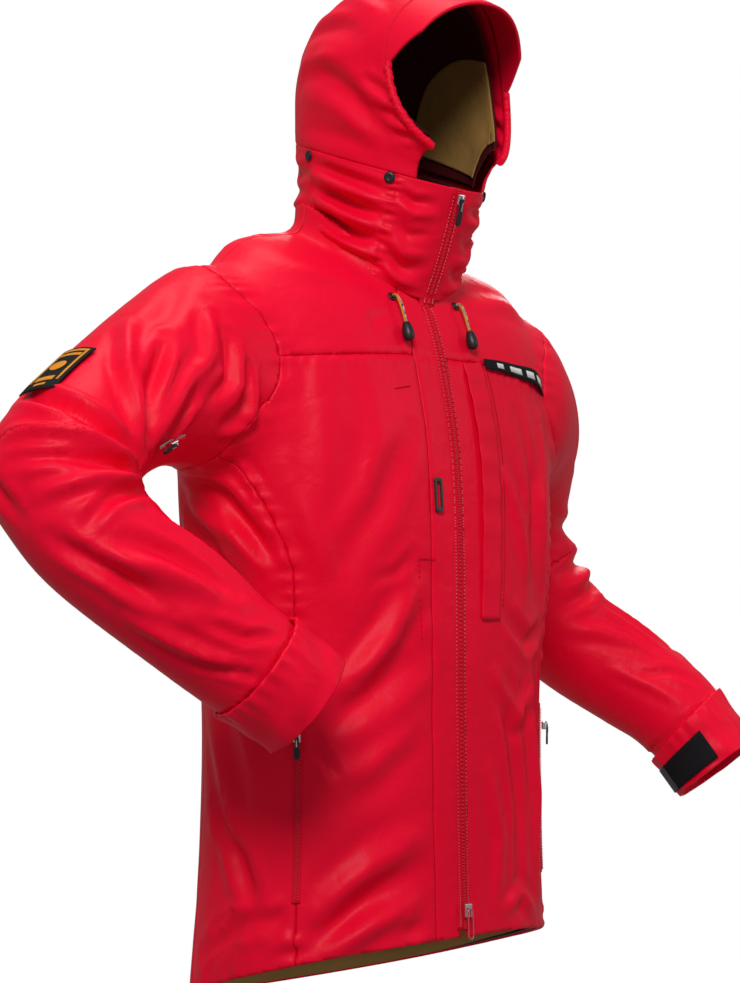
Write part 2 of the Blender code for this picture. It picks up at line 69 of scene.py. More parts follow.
# ---- driving sizes, metres ----
SQUARE = 2.35           # roundness of the body sections, 2 is an ellipse
HOOD_SQUARE = 2.2       # the same for the collar and hood
HOOD_BOW = 0.030        # how far the sides of the face opening stand back
CLOTH = 0.0012          # cloth thickness shown
SEAM_DEPTH = 0.0008     # how far a seam sinks
SEAM_HALF = 0.0026      # half width of a sunk seam
RIDGE_OUT = 0.008       # how far beside it the cloth rises again
RIDGE_HALF = 0.004      # half width of that rise
ZIP_HALF = 0.0038       # half width kept free for the teeth of the front zip
ZIP_NECK = 4            # where the front zip passes the neck, on its scale of 0 to 14
STORM_EDGE = 0.036      # edge of the strip beside the zip, from the middle
YOKE_Z = -0.113         # height of the yoke seam at the front
BACK_YOKE_Z = YOKE_Z + 0.006    # the same at the back
YOKE_MEET_Y = 0.02      # where the front and back yokes meet on the shoulder, front to back
ARMHOLE_OUT = 0.020     # how far outside the body the armhole seam lies
SIDE_FRONT = 57.0       # front edge of the side panels, degrees from the front
SIDE_BACK = 112.0       # their back edge
ELBOW = 5.0             # sleeve section of the elbow seam
CUFF_FROM = 9.25        # sleeve section where the cuff starts
TUCKED = 0.32           # how far the sleeve runs on inside its cuff, in sections
ENVELOPE_END = 9.9      # sleeve section where the closed surface ends, beyond the last cut
NECK_HALF = 0.085       # half width of the neck opening
NECK_DEEP = 0.076       # half depth of the neck opening
POCKET = 57             # where the hand pocket zips lie, degrees from the front
CORD_OUT = 0.045        # where the collar cords come out, from the middle of the front
EYELET_RING = 0.5       # body ring of their eyelets
TOGGLE_RING = 1.95      # body ring where the toggles begin
PIT_SIDE = 150          # where the pit zip lies, degrees from the top of the sleeve
CUT_REACH = 0.13        # half width of the part round the neck that the neck cut may reach
NEVER = 20.0            # added where a cut doesn't apply, so that its value can't change sign
TAB_SPAN = (9.44, 9.88)     # sleeve sections that the cuff tabs cover
FLAP_TOP = 2.80         # body ring of the top of the chest flap
FLAP_EDGE = 13.2        # its sewn edge, degrees from the front
LABEL_SLOPE = 0.0148    # rings the label drops per degree round the body
COLLAR_SEAM = 2.55      # collar ring where the hood joins it
UPRIGHT = 44            # upright seam of the collar, degrees from the front
CROWN_SEAM = 149.2      # seam between the sides and the crown of the hood, degrees from the front
FACE_RING = 7.30        # hood ring of the edge of the face opening
STUD_RING = 2.36        # collar ring of the press studs
SIDES = (("right", -1), ("left", 1))

# torso rings: front z, back z, half width, front y, back y, rise of the sides
TORSO = [
    (-0.056, 0.026, 0.086, -0.074, 0.078, 0.026),
    (-0.068, 0.006, 0.130, -0.080, 0.094, 0.040),
    (-0.088, -0.030, 0.180, -0.088, 0.108, 0.052),
    (-0.128, -0.095, 0.212, -0.100, 0.122, 0.050),
    (-0.205, -0.188, 0.226, -0.116, 0.136, 0.018),
    (-0.300, -0.300, 0.220, -0.122, 0.138, 0.000),
    (-0.450, -0.450, 0.198, -0.123, 0.128, 0.000),
    (-0.600, -0.606, 0.196, -0.125, 0.134, 0.000),
    (-0.692, -0.770, 0.202, -0.128, 0.146, 0.000),
]
# hood and collar loops: front (y, z), back (y, z), half width, rise of the sides
HOOD = [
    (-0.077, -0.052, 0.076, 0.030, 0.084, 0.024),
    (-0.098, -0.010, 0.078, 0.062, 0.084, 0.012),
    (-0.118, 0.040, 0.084, 0.110, 0.086, 0.004),
    (-0.126, 0.066, 0.086, 0.160, 0.089, 0.000),
    (-0.130, 0.070, 0.080, 0.220, 0.091, 0.000),
    (-0.134, 0.073, 0.046, 0.268, 0.091, 0.000),
    (-0.138, 0.075, -0.026, 0.288, 0.090, 0.000),
    (-0.142, 0.077, -0.106, 0.272, 0.086, 0.000),
    (-0.146, 0.078, -0.172, 0.236, 0.082, 0.000),
]
# sleeve sections: centre, outward direction, half height, half depth
RIGHT_ARM = [
    ((-0.184, 0.012, -0.146), (-0.99, 0.00, -0.10), 0.115, 0.078),
    ((-0.214, 0.010, -0.140), (-0.97, -0.02, -0.22), 0.114, 0.079),
    ((-0.262, 0.002, -0.152), (-0.93, -0.08, -0.35), 0.093, 0.078),
    ((-0.316, -0.010, -0.168), (-0.90, -0.15, -0.40), 0.073, 0.071),
    ((-0.376, -0.026, -0.206), (-0.80, -0.30, -0.50), 0.065, 0.065),
    ((-0.420, -0.046, -0.252), (-0.30, -0.43, -0.85), 0.070, 0.068),
    ((-0.412, -0.066, -0.292), (0.14, -0.42, -0.89), 0.063, 0.062),
    ((-0.388, -0.086, -0.325), (0.66, -0.34, -0.66), 0.058, 0.058),
    ((-0.342, -0.109, -0.366), (0.72, -0.29, -0.63), 0.056, 0.056),
    ((-0.289, -0.132, -0.410), (0.73, -0.29, -0.62), 0.054, 0.054),
    ((-0.229, -0.156, -0.455), (0.74, -0.29, -0.60), 0.053, 0.053),
]
RIGHT_SIDEWAYS = (-0.02, -0.875, 0.483)
LEFT_ARM = [
    ((0.184, 0.012, -0.146), (0.99, 0.00, -0.10), 0.115, 0.078),
    ((0.216, 0.018, -0.143), (0.94, 0.16, -0.28), 0.112, 0.079),
    ((0.264, 0.054, -0.160), (0.74, 0.42, -0.52), 0.089, 0.076),
    ((0.298, 0.094, -0.210), (0.46, 0.42, -0.78), 0.076, 0.076),
    ((0.314, 0.116, -0.270), (0.34, 0.18, -0.92), 0.074, 0.073),
    ((0.332, 0.110, -0.324), (0.42, -0.06, -0.90), 0.073, 0.071),
    ((0.360, 0.094, -0.368), (0.60, -0.38, -0.70), 0.069, 0.068),
    ((0.388, 0.064, -0.408), (0.66, -0.56, -0.50), 0.064, 0.064),
    ((0.423, 0.016, -0.449), (0.58, -0.66, -0.48), 0.060, 0.060),
    ((0.447, -0.032, -0.487), (0.44, -0.64, -0.63), 0.056, 0.056),
    ((0.469, -0.079, -0.553), (0.26, -0.55, -0.79), 0.054, 0.054),
]
LEFT_SIDEWAYS = (0.826, -0.165, 0.539)
# points inside the body and the hood, which tell the outer side of a surface
MID = Vector((0, 0.01, -0.35))
HOOD_MID = Vector((0, 0.0, 0.12))


# ---- camera and light ----
def link(ob):
    bpy.context.scene.collection.objects.link(ob)
    return ob


def camera():
    azimuth, elevation = math.radians(-42), math.radians(-4)
    target = Vector((-0.01, 0.0, -0.245))
    away = 2.0
    back = Vector((math.sin(azimuth) * math.cos(elevation),
                   -math.cos(azimuth) * math.cos(elevation), math.sin(elevation)))
    data = bpy.data.cameras.new("camera")
    data.lens = 69.8
    data.sensor_width = 36
    ob = link(bpy.data.objects.new("camera", data))
    ob.location = target + back * away
    ob.rotation_euler = back.to_track_quat('Z', 'Y').to_euler()
    bpy.context.scene.camera = ob


def area(name, where, size, power, aim=(0, 0, -0.2)):
    data = bpy.data.lights.new(name, 'AREA')
    data.shape = 'DISK'
    data.size = size
    data.energy = power
    ob = link(bpy.data.objects.new(name, data))
    ob.location = where
    ob.rotation_euler = (Vector(where) - Vector(aim)).to_track_quat('Z', 'Y').to_euler()


def light():
    area("key", (-2.1, -2.1, 1.7), 1.3, 74)
    area("side", (1.9, -2.2, 0.9), 1.1, 8)
    area("top", (0.1, 0.2, 2.6), 1.6, 30)
    area("rim", (1.8, 1.6, 1.0), 1.0, 22)
    world = bpy.data.worlds.new("world")
    world.use_nodes = True
    knobs(world.node_tree.nodes["Background"], {"Color": (1, 1, 1, 1), "Strength": 0.27})
    bpy.context.scene.world = world
    bpy.context.scene.view_settings.view_transform = 'Standard'
    bm = bmesh.new()
    bmesh.ops.create_icosphere(bm, subdivisions=4, radius=7.0)
    mesh = bpy.data.meshes.new("backdrop")
    bm.to_mesh(mesh)
    bm.free()
    dome = link(bpy.data.objects.new("backdrop", mesh))
    for kind in ("diffuse", "glossy", "transmission", "shadow", "volume_scatter"):
        setattr(dome, "visible_" + kind, False)
    mat = bpy.data.materials.new("backdrop")
    mat.use_nodes = True
    mat.node_tree.nodes.clear()
    glow = shader(mat.node_tree, "Emission", {"Strength": 1.0})
    shader(mat.node_tree, "OutputMaterial", Surface=(glow, "Emission"))
    mesh.materials.append(mat)


# ---- materials ----
def knobs(node, values):
    for name, value in values.items():
        node.inputs[name].default_value = value


def shader(tree, kind, values=None, **links):
    """A new node with its values set and its inputs linked, each link as input=(node, output)."""
    made = tree.nodes.new("ShaderNode" + kind)
    knobs(made, values or {})
    for name, (source, output) in links.items():
        tree.links.new(source.outputs[output], made.inputs[name])
    return made


def new_material(name):
    mat = bpy.data.materials.new(name)
    mat.use_nodes = True
    return mat, mat.node_tree, mat.node_tree.nodes["Principled BSDF"]


def fabric(name, light_colour, dark_colour, rough=0.48, weave=0.10, crinkle=0.35, threads=2600.0,
           patches=6.0):
    """Woven cloth: two shades, fine threads and soft creases, all from the object's own space."""
    mat, tree, bsdf = new_material(name)
    knobs(bsdf, {"Roughness": rough, "Specular IOR Level": 0.10})
    spot = (shader(tree, "TexCoord"), "Object")
    cloud = shader(tree, "TexNoise", {"Scale": patches, "Detail": 3.0}, Vector=spot)
    ramp = shader(tree, "ValToRGB", Fac=(cloud, "Fac"))
    for end, position, colour in ((0, 0.35, dark_colour), (1, 0.65, light_colour)):
        ramp.color_ramp.elements[end].position = position
        ramp.color_ramp.elements[end].color = (*colour, 1)
    fine = shader(tree, "TexNoise", {"Scale": threads / 3, "Detail": 2.0}, Vector=spot)
    crease = shader(tree, "TexNoise", {"Scale": 34.0, "Detail": 4.0, "Distortion": 0.6}, Vector=spot)
    low = shader(tree, "Bump", {"Strength": crinkle, "Distance": 0.004}, Height=(crease, "Fac"))
    high = shader(tree, "Bump", {"Strength": weave, "Distance": 0.0006}, Height=(fine, "Fac"),
                  Normal=(low, "Normal"))
    tree.links.new(ramp.outputs["Color"], bsdf.inputs["Base Color"])
    tree.links.new(high.outputs["Normal"], bsdf.inputs["Normal"])
    return mat


def moulded(name, colour, rough=0.4, metallic=0.0, grain=0.05, coat=0.0):
    """Plastic, rubber or metal with a faint grain in its roughness and surface."""
    mat, tree, bsdf = new_material(name)
    knobs(bsdf, {"Base Color": (*colour, 1), "Metallic": metallic, "Coat Weight": coat})
    spot = (shader(tree, "TexCoord"), "Object")
    speck = shader(tree, "TexNoise", {"Scale": 900.0}, Vector=spot)
    spread = 0.08
    span = shader(tree, "MapRange", {"To Min": max(rough - spread, 0.02), "To Max": rough + spread},
                  Value=(speck, "Fac"))
    bump = shader(tree, "Bump", {"Strength": grain, "Distance": 0.0004}, Height=(speck, "Fac"))
    tree.links.new(span.outputs["Result"], bsdf.inputs["Roughness"])
    tree.links.new(bump.outputs["Normal"], bsdf.inputs["Normal"])
    return mat


RED = fabric("shell_red", (0.93, 0.0035, 0.034), (0.84, 0.0015, 0.028), rough=0.42)
RED_STIFF = fabric("shell_red_stiff", (0.94, 0.0035, 0.035), (0.86, 0.002, 0.030), rough=0.42,
                   crinkle=0.12)
# the real gold of the linings, darkened as painted shade for the dim inside of the hood and body
GOLD_AND_SHADE = fabric("lining_gold", (0.42, 0.24, 0.07), (0.30, 0.16, 0.045), rough=0.7, weave=0.5,
              crinkle=0.5, threads=1500.0)
# painted shade: a near-black red given to the hood and collar linings so that they read as the deep
# shade inside the hood and collar
LINING_SHADE = fabric("lining_painted_shade", (0.075, 0.006, 0.008), (0.050, 0.004, 0.006), rough=0.7)
TAPE_RED = fabric("tape_red", (0.80, 0.004, 0.030), (0.70, 0.002, 0.024), rough=0.6, weave=0.4,
                  crinkle=0.05)
HOOK = fabric("hook_black", (0.012, 0.012, 0.014), (0.006, 0.006, 0.007), rough=0.9, weave=0.9,
              crinkle=0.1)
GREY = moulded("tip_grey", (0.035, 0.036, 0.038), rough=0.5)
OLIVE = moulded("loop_dark", (0.028, 0.030, 0.024), rough=0.5)
STITCH = fabric("stitch_light", (0.80, 0.20, 0.20), (0.65, 0.10, 0.12), rough=0.6, crinkle=0.0)
SEWN = fabric("stitch_red", (0.55, 0.004, 0.020), (0.45, 0.003, 0.016), rough=0.6, crinkle=0.0)
BLACK = moulded("trim_black", (0.010, 0.010, 0.012), rough=0.42)
COIL = moulded("coil_red", (0.80, 0.006, 0.034), rough=0.5)
SILVER = moulded("metal_silver", (0.72, 0.72, 0.74), rough=0.24, metallic=1.0)
WIRE = moulded("wire_red", (0.60, 0.05, 0.07), rough=0.3, coat=0.3)
ORANGE = fabric("cord_orange", (0.72, 0.30, 0.03), (0.55, 0.20, 0.02), rough=0.8, weave=0.8,
                crinkle=0.1, patches=260.0)
CHECK = fabric("cord_check", (0.62, 0.60, 0.55), (0.012, 0.012, 0.014), rough=0.8, weave=0.8,
               crinkle=0.1, patches=420.0)
WHITE = fabric("print_white", (0.78, 0.78, 0.76), (0.68, 0.68, 0.66), rough=0.6, crinkle=0.02)
BADGE = fabric("badge_black", (0.016, 0.014, 0.014), (0.010, 0.009, 0.009), rough=0.7, weave=0.5,
               crinkle=0.05)
AMBER = fabric("badge_amber", (0.78, 0.33, 0.03), (0.62, 0.22, 0.02), rough=0.7, weave=0.5,
               crinkle=0.05)


# ---- shapes ----
def spline(rows, k):
    """Catmull-Rom through rows of numbers at the fractional row k."""
    k = min(max(k, 0.0), len(rows) - 1.0)
    i = min(int(k), len(rows) - 2)
    f = k - i
    a, b, c, d = (rows[min(max(j, 0), len(rows) - 1)] for j in (i - 1, i, i + 1, i + 2))
    out = []
    for p, q, r, s in zip(a, b, c, d):
        out.append(0.5 * (2 * q + (r - p) * f + (2 * p - 5 * q + 4 * r - s) * f * f
                          + (3 * q - p - 3 * r + s) * f ** 3))
    return out


def power(value, exponent):
    return math.copysign(abs(value) ** exponent, value)


def corner(deg, square):
    """Sine and cosine of an angle on a section that is squarer than an ellipse."""
    a = math.radians(deg)
    return power(math.sin(a), 2 / square), power(math.cos(a), 2 / square)


def torso(deg, ring):
    """A point of the body. deg 0 is the front centre, 90 the wearer's left, 180 the back."""
    zf, zb, half, yf, yb, lift = spline(TORSO, ring)
    s, c = corner(deg, SQUARE)
    z = (zf + zb) / 2 + (zf - zb) / 2 * c + lift * s * s
    return Vector((half * s, (yf + yb) / 2 - (yb - yf) / 2 * c, z))


def hood(deg, ring):
    """A point of the collar and hood, deg as on the torso."""
    yf, zf, yb, zb, half, lift = spline(HOOD, ring)
    s, c = corner(deg, HOOD_SQUARE)
    mid = Vector((0, (yf + yb) / 2, (zf + zb) / 2))
    arm = Vector((0, (yf - yb) / 2, (zf - zb) / 2))
    back = HOOD_BOW * min(max((ring - 4.0) / 3.0, 0.0), 1.0) ** 2
    return mid + arm * c + Vector((half * s, back * s * s, lift * s * s))


def sleeve(rows, deg, k):
    """A point of a sleeve. deg 0 is its upper side, 90 its front side."""
    flat = [tuple(c) + tuple(n) + (ru, rv) for c, n, ru, rv in rows]
    x, y, z, nx, ny, nz, ru, rv = spline(flat, k)
    n = Vector((nx, ny, nz)).normalized()
    right = rows is RIGHT_ARM
    turn = min(k / 4.0, 1.0)
    across = Vector((0, -1, 0)).lerp(Vector(RIGHT_SIDEWAYS if right else LEFT_SIDEWAYS), turn)
    across = (across - n * across.dot(n)).normalized()
    up = n.cross(across) if right else across.cross(n)
    a = math.radians(deg)
    return Vector((x, y, z)) + up * (ru * math.cos(a)) + across * (rv * math.sin(a))


def right_sleeve(deg, k):
    return sleeve(RIGHT_ARM, deg, k)


def left_sleeve(deg, k):
    return sleeve(LEFT_ARM, deg, k)


def arm_middle(rows, k):
    return Vector(spline([tuple(r[0]) for r in rows], k))


def from_middle(rows, exponent, column, distance, sign):
    """The angle, as a function of the ring, that keeps a distance from the middle of the front."""
    def angle(ring):
        share = min(distance / spline(rows, ring)[column], 1.0)
        return sign * math.degrees(math.asin(share ** (exponent / 2)))
    return angle


def normal_of(surface, u, v, inside):
    a = surface(u + 0.5, v) - surface(u - 0.5, v)
    b = surface(u, v + 0.02) - surface(u, v - 0.02)
    n = a.cross(b).normalized()
    return -n if n.dot(surface(u, v) - inside) < 0 else n


def place(surface, u, v, rise, inside):
    """A frame on a surface: its Z axis leaves the surface, its Y axis runs against growing v."""
    n = normal_of(surface, u, v, inside)
    along = (surface(u, v - 0.02) - surface(u, v + 0.02)).normalized()
    along = (along - n * along.dot(n)).normalized()
    m = Matrix((along.cross(n), along, n)).transposed().to_4x4()
    m.translation = surface(u, v) + n * rise
    return m


# ---- small makers ----
def add(name, bm, mat, smooth=True):
    mesh = bpy.data.meshes.new(name)
    bm.normal_update()
    bm.to_mesh(mesh)
    bm.free()
    for poly in mesh.polygons:
        poly.use_smooth = smooth
    mesh.materials.append(mat)
    return link(bpy.data.objects.new(name, mesh))


def solid(name, bm, mat, smooth=True):
    """An object from a closed mesh, with its faces turned outward."""
    bm.normal_update()
    bmesh.ops.recalc_face_normals(bm, faces=bm.faces)
    return add(name, bm, mat, smooth)


def modify(ob, name, kind, **settings):
    mod = ob.modifiers.new(name, kind)
    for key, value in settings.items():
        setattr(mod, key, value)
    return ob


def thicken(ob, wall=CLOTH, offset=-1.0):
    return modify(ob, "thickness", 'SOLIDIFY', thickness=wall, offset=offset)


def dress(ob, body, node=None):
    if node:
        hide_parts(node)
    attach(ob, body)


def bevel(ob, width, segments=2):
    return modify(ob, "edges", 'BEVEL', width=width, segments=segments, limit_method='ANGLE')


def strip(bm, rows, closed=False):
    """Faces between rows of vertices, which may close into rings."""
    for a, b in zip(rows, rows[1:]):
        for i in range(len(a) if closed else len(a) - 1):
            k = (i + 1) % len(a)
            bm.faces.new((a[i], a[k], b[k], b[i]))


def patch(name, surface, u0, u1, v0, v1, nu, nv, mat, inside, rise=0.0, wall=CLOTH, shape=None):
    """A cloth piece over u0..u1, v0..v1 of a surface. shape(p, n, u, v) may move its points."""
    bm = bmesh.new()
    cols = []
    for i in range(nu + 1):
        col = []
        for j in range(nv + 1):
            v = v0 + (v1 - v0) * j / nv
            low = u0(v) if callable(u0) else u0
            high = u1(v) if callable(u1) else u1
            u = low + (high - low) * i / nu
            n = normal_of(surface, u, v, inside)
            p = surface(u, v) + n * rise
            if shape:
                p = shape(p, n, u, v)
            col.append(bm.verts.new(p))
        cols.append(col)
    for a, b in zip(cols, cols[1:]):
        for j in range(nv):
            bm.faces.new((a[j], b[j], b[j + 1], a[j + 1]))
    bm.normal_update()
    face = bm.faces[:][len(bm.faces) // 2]
    if face.normal.dot(face.calc_center_median() - inside) < 0:
        bmesh.ops.reverse_faces(bm, faces=bm.faces)
    return thicken(add(name, bm, mat), wall)


def block(name, m, size, middle, mat, edge=0.0004):
    """A box with rounded edges in frame m."""
    bm = bmesh.new()
    bmesh.ops.create_cube(bm, size=1.0)
    for vert in bm.verts:
        vert.co = Vector((vert.co[i] * size[i] + middle[i] for i in range(3)))
    bm.transform(m)
    return bevel(solid(name, bm, mat, smooth=False), edge, 3)


def plate(name, m, points, thick, lift, mat, edge=0.0003):
    """A flat plate with the outline points, in the XY plane of frame m."""
    bm = bmesh.new()
    low = [bm.verts.new((x, y, lift)) for x, y in points]
    high = [bm.verts.new((x, y, lift + thick)) for x, y in points]
    bm.faces.new(low)
    bm.faces.new(high)
    for i in range(len(points)):
        k = (i + 1) % len(points)
        bm.faces.new((low[i], low[k], high[k], high[i]))
    bm.transform(m)
    return bevel(solid(name, bm, mat, smooth=False), edge, 2)


def rounded(width, length, cx, cy, radius, steps=8):
    """The outline of a rectangle with round corners."""
    pts = []
    for q in range(4):
        sx = (1, -1, -1, 1)[q]
        sy = (1, 1, -1, -1)[q]
        for i in range(steps + 1):
            a = math.radians(90 * q + 90 * i / steps)
            pts.append((cx + sx * (width / 2 - radius) + radius * math.cos(a),
                        cy + sy * (length / 2 - radius) + radius * math.sin(a)))
    return pts


def slot_plate(name, m, outer, hole, thick, lift, mat):
    """A rounded plate with a rounded hole, each given as for rounded."""
    bm = bmesh.new()
    loops = []
    for spec in (outer, hole):
        pts = rounded(*spec)
        loops.append([[bm.verts.new((x, y, z)) for x, y in pts] for z in (lift, lift + thick)])
    n = len(loops[0][0])
    for i in range(n):
        k = (i + 1) % n
        (a0, a1), (b0, b1) = loops
        bm.faces.new((a0[i], a0[k], a1[k], a1[i]))
        bm.faces.new((b0[i], b1[i], b1[k], b0[k]))
        bm.faces.new((a0[i], b0[i], b0[k], a0[k]))
        bm.faces.new((a1[i], a1[k], b1[k], b1[i]))
    bm.transform(m)
    return bevel(solid(name, bm, mat, smooth=False), 0.0004, 2)


def turned(name, m, profile, mat, steps=40):
    """A solid of revolution about the Z axis of frame m. The profile holds (radius, height)."""
    bm = bmesh.new()
    rings = []
    for r, z in profile:
        rings.append([bm.verts.new((r * math.cos(2 * math.pi * i / steps),
                                    r * math.sin(2 * math.pi * i / steps), z))
                      for i in range(steps)])
    strip(bm, rings, closed=True)
    bm.faces.new(rings[0])
    bm.faces.new(rings[-1])
    bm.transform(m)
    return bevel(solid(name, bm, mat), 0.00025, 2)


def rope(name, points, radius, mat, closed=False):
    """A round cord along points, as a curve."""
    data = bpy.data.curves.new(name, 'CURVE')
    data.dimensions = '3D'
    data.bevel_depth = radius
    data.bevel_resolution = 4
    data.resolution_u = 6
    line = data.splines.new('NURBS')
    line.points.add(len(points) - 1)
    for q, p in zip(line.points, points):
        q.co = (*p, 1)
    line.order_u = 4
    line.use_endpoint_u = True
    line.use_cyclic_u = closed
    data.use_fill_caps = True
    data.materials.append(mat)
    return link(bpy.data.objects.new(name, data))


# ---- the cloth of the body and sleeves, one surface that is cut along its seams ----
def add_tube(bm, loops):
    rings = [[bm.verts.new(p) for p in loop] for loop in loops]
    strip(bm, rings, closed=True)
    bm.faces.new(rings[0])
    bm.faces.new(rings[-1])


def loop_of(surface, v, count, shift=(0, 0, 0), scale=1.0, middle=None):
    """Points once round a surface at v, scaled about a middle and then shifted."""
    pts = [surface(360 * i / count, v) for i in range(count)]
    if middle is not None:
        pts = [middle + (p - middle) * scale for p in pts]
    return [p + Vector(shift) for p in pts]


def baked(ob, name):
    """Turns the result of an object's modifiers into its mesh."""
    graph = bpy.context.evaluated_depsgraph_get()
    mesh = bpy.data.meshes.new_from_object(ob.evaluated_get(graph), depsgraph=graph)
    mesh.name = name
    ob.modifiers.clear()
    ob.data = mesh
    return mesh


def envelope():
    """The body and both sleeves as one closed surface, smoothed where the sleeves join."""
    bm = bmesh.new()
    last = len(TORSO) - 1.0
    loops = [loop_of(torso, 0, 72, (0, 0, 0.05)), loop_of(torso, 0, 72, (0, 0, 0.015))]
    loops += [loop_of(torso, last * i / 50, 72) for i in range(51)]
    loops += [loop_of(torso, last, 72, (0, 0, -0.02 * i)) for i in (1, 2)]
    add_tube(bm, loops)
    for rows, surface, sign in ((RIGHT_ARM, right_sleeve, -1), (LEFT_ARM, left_sleeve, 1)):
        middle = Vector(rows[0][0])
        loops = [loop_of(surface, 0, 40, (-sign * 0.05, 0, 0), 0.75, middle)]
        loops += [loop_of(surface, ENVELOPE_END * i / 60, 40) for i in range(61)]
        add_tube(bm, loops)
    ob = solid("envelope", bm, RED)
    modify(ob, "remesh", 'REMESH', mode='VOXEL', voxel_size=0.0085)
    modify(ob, "relax", 'SMOOTH', factor=0.5, iterations=5)
    mesh = baked(ob, "envelope_coarse")
    group = ob.vertex_groups.new(name="shoulders")
    co = coords(mesh)
    for side in ("right", "left"):
        k, far = ARMS[side].locate(co)
        meeting = (torso_depth(co) - far) / 0.045
        weight = np.exp(-meeting ** 2) * (k < 2.6) * (np.abs(co[:, 0]) > 0.12) * (co[:, 2] < 0.0)
        for index in np.nonzero(weight > 0.05)[0]:
            group.add([int(index)], float(weight[index]), 'REPLACE')
    modify(ob, "shoulders", 'SMOOTH', factor=0.5, iterations=26, vertex_group=group.name)
    baked(ob, "envelope_smooth")
    ob.vertex_groups.clear()
    return ob


def read(items, key):
    """One vector for each item, as rows of an array."""
    values = np.empty(len(items) * 3)
    items.foreach_get(key, values)
    return values.reshape(-1, 3)


def coords(mesh):
    return read(mesh.vertices, "co")


def move_to(mesh, co):
    mesh.vertices.foreach_set("co", co.ravel())
    mesh.update()


def vertex_normals(mesh):
    return read(mesh.vertex_normals, "vector")


class Arm:
    """Where points lie along a sleeve, in sections, and how many metres outside its radius."""

    def __init__(self, rows):
        self.k = np.linspace(0, 10, 161)
        flat = [tuple(c) + (ru, rv) for c, n, ru, rv in rows]
        data = np.array([spline(flat, k) for k in self.k])
        self.points = data[:, :3]
        self.radius = (data[:, 3] + data[:, 4]) / 2

    def locate(self, co):
        k = np.zeros(len(co))
        far = np.zeros(len(co))
        for at in range(0, len(co), 20000):
            part = co[at:at + 20000]
            gap = np.linalg.norm(part[:, None, :] - self.points[None], axis=2)
            best = gap.argmin(axis=1)
            k[at:at + 20000] = self.k[best]
            far[at:at + 20000] = gap[np.arange(len(part)), best] - self.radius[best]
        return k, far


ARMS = {"right": Arm(RIGHT_ARM), "left": Arm(LEFT_ARM)}


def torso_depth(co):
    """Metres by which points lie outside the body's side-to-side section at their height."""
    rows = np.array(TORSO)
    z = (rows[:, 0] + rows[:, 1]) / 2 + rows[:, 5]
    order = np.argsort(z)
    half = np.interp(co[:, 2], z[order], rows[order, 2])
    yf = np.interp(co[:, 2], z[order], rows[order, 3])
    yb = np.interp(co[:, 2], z[order], rows[order, 4])
    x = np.abs(co[:, 0]) / half
    y = np.abs(co[:, 1] - (yf + yb) / 2) / ((yb - yf) / 2)
    return ((x ** SQUARE + y ** SQUARE) ** (1 / SQUARE) - 1) * 0.17


def sleeve_side(co, side):
    """Positive on a sleeve, negative on the body, zero along the armhole seam."""
    k, far = ARMS[side].locate(co)
    sign = 1 if side == "left" else -1
    value = torso_depth(co) - far - ARMHOLE_OUT
    value = np.where(k > 3.9, value + ARMHOLE_OUT + 0.006, value)
    flank = sign * co[:, 0] < 0.10
    return np.where(flank, -np.abs(value) - 0.02, value)


def angle_field(co, deg):
    """Positive beyond a seam that runs down the body at an angle from the front, either side."""
    x = np.abs(co[:, 0]) / 0.20
    y = (co[:, 1] - 0.005) / 0.132
    x = np.sign(x) * np.abs(x) ** (SQUARE / 2)
    y = np.sign(y) * np.abs(y) ** (SQUARE / 2)
    found = np.degrees(np.arctan2(x, -y))
    if deg == SIDE_FRONT:
        deg = SIDE_FRONT + 27.0 * np.clip((co[:, 2] + 0.34) / 0.14, 0, 1) ** 1.5
    return (found - deg) * 0.0028


def cut_along(bm, values):
    """Cuts a mesh where values, one per vertex, change sign. Returns the values of all vertices."""
    bm.verts.ensure_lookup_table()
    values = list(values)
    for edge in bm.edges:
        a, b = edge.verts
        va, vb = values[a.index], values[b.index]
        if va * vb < 0:
            t = va / (va - vb)
            if t < 0.22 and values[a.index] != 0.0:
                a.co = a.co.lerp(b.co, t)
                values[a.index] = 0.0
            elif t > 0.78 and values[b.index] != 0.0:
                b.co = b.co.lerp(a.co, 1 - t)
                values[b.index] = 0.0
    new = {}
    for edge in list(bm.edges):
        a, b = edge.verts
        va, vb = values[a.index], values[b.index]
        if va * vb < 0:
            new[edge] = (a, va / (va - vb))
    made = set()
    for edge, (a, t) in new.items():
        _, vert = bmesh.utils.edge_split(edge, a, t)
        made.add(vert)
    bm.verts.index_update()
    count = len(values)
    bm.verts.ensure_lookup_table()
    values += [0.0] * (len(bm.verts) - count)
    on_line = {v for v in bm.verts if values[v.index] == 0.0}
    for face in list(bm.faces):
        hits = [v for v in face.verts if v in on_line]
        if len(hits) == 2:
            a, b = hits
            if not any(b in e.verts for e in a.link_edges):
                bmesh.utils.face_split(face, a, b)
    return values


def polyline_distance(co, points):
    """Distance of each point of co from a line of points, and the share of the line passed there."""
    best = np.full(len(co), 1e9)
    along = np.zeros(len(co))
    steps = np.linalg.norm(np.diff(points, axis=0), axis=1)
    total = steps.sum()
    start = 0.0
    for a, b, length in zip(points, points[1:], steps):
        t = np.clip(((co - a) @ (b - a)) / max(length ** 2, 1e-12), 0, 1)
        d = np.linalg.norm(co - (a + t[:, None] * (b - a)), axis=1)
        closer = d < best
        best = np.where(closer, d, best)
        along = np.where(closer, (start + t * length) / total, along)
        start += length
    return best, along


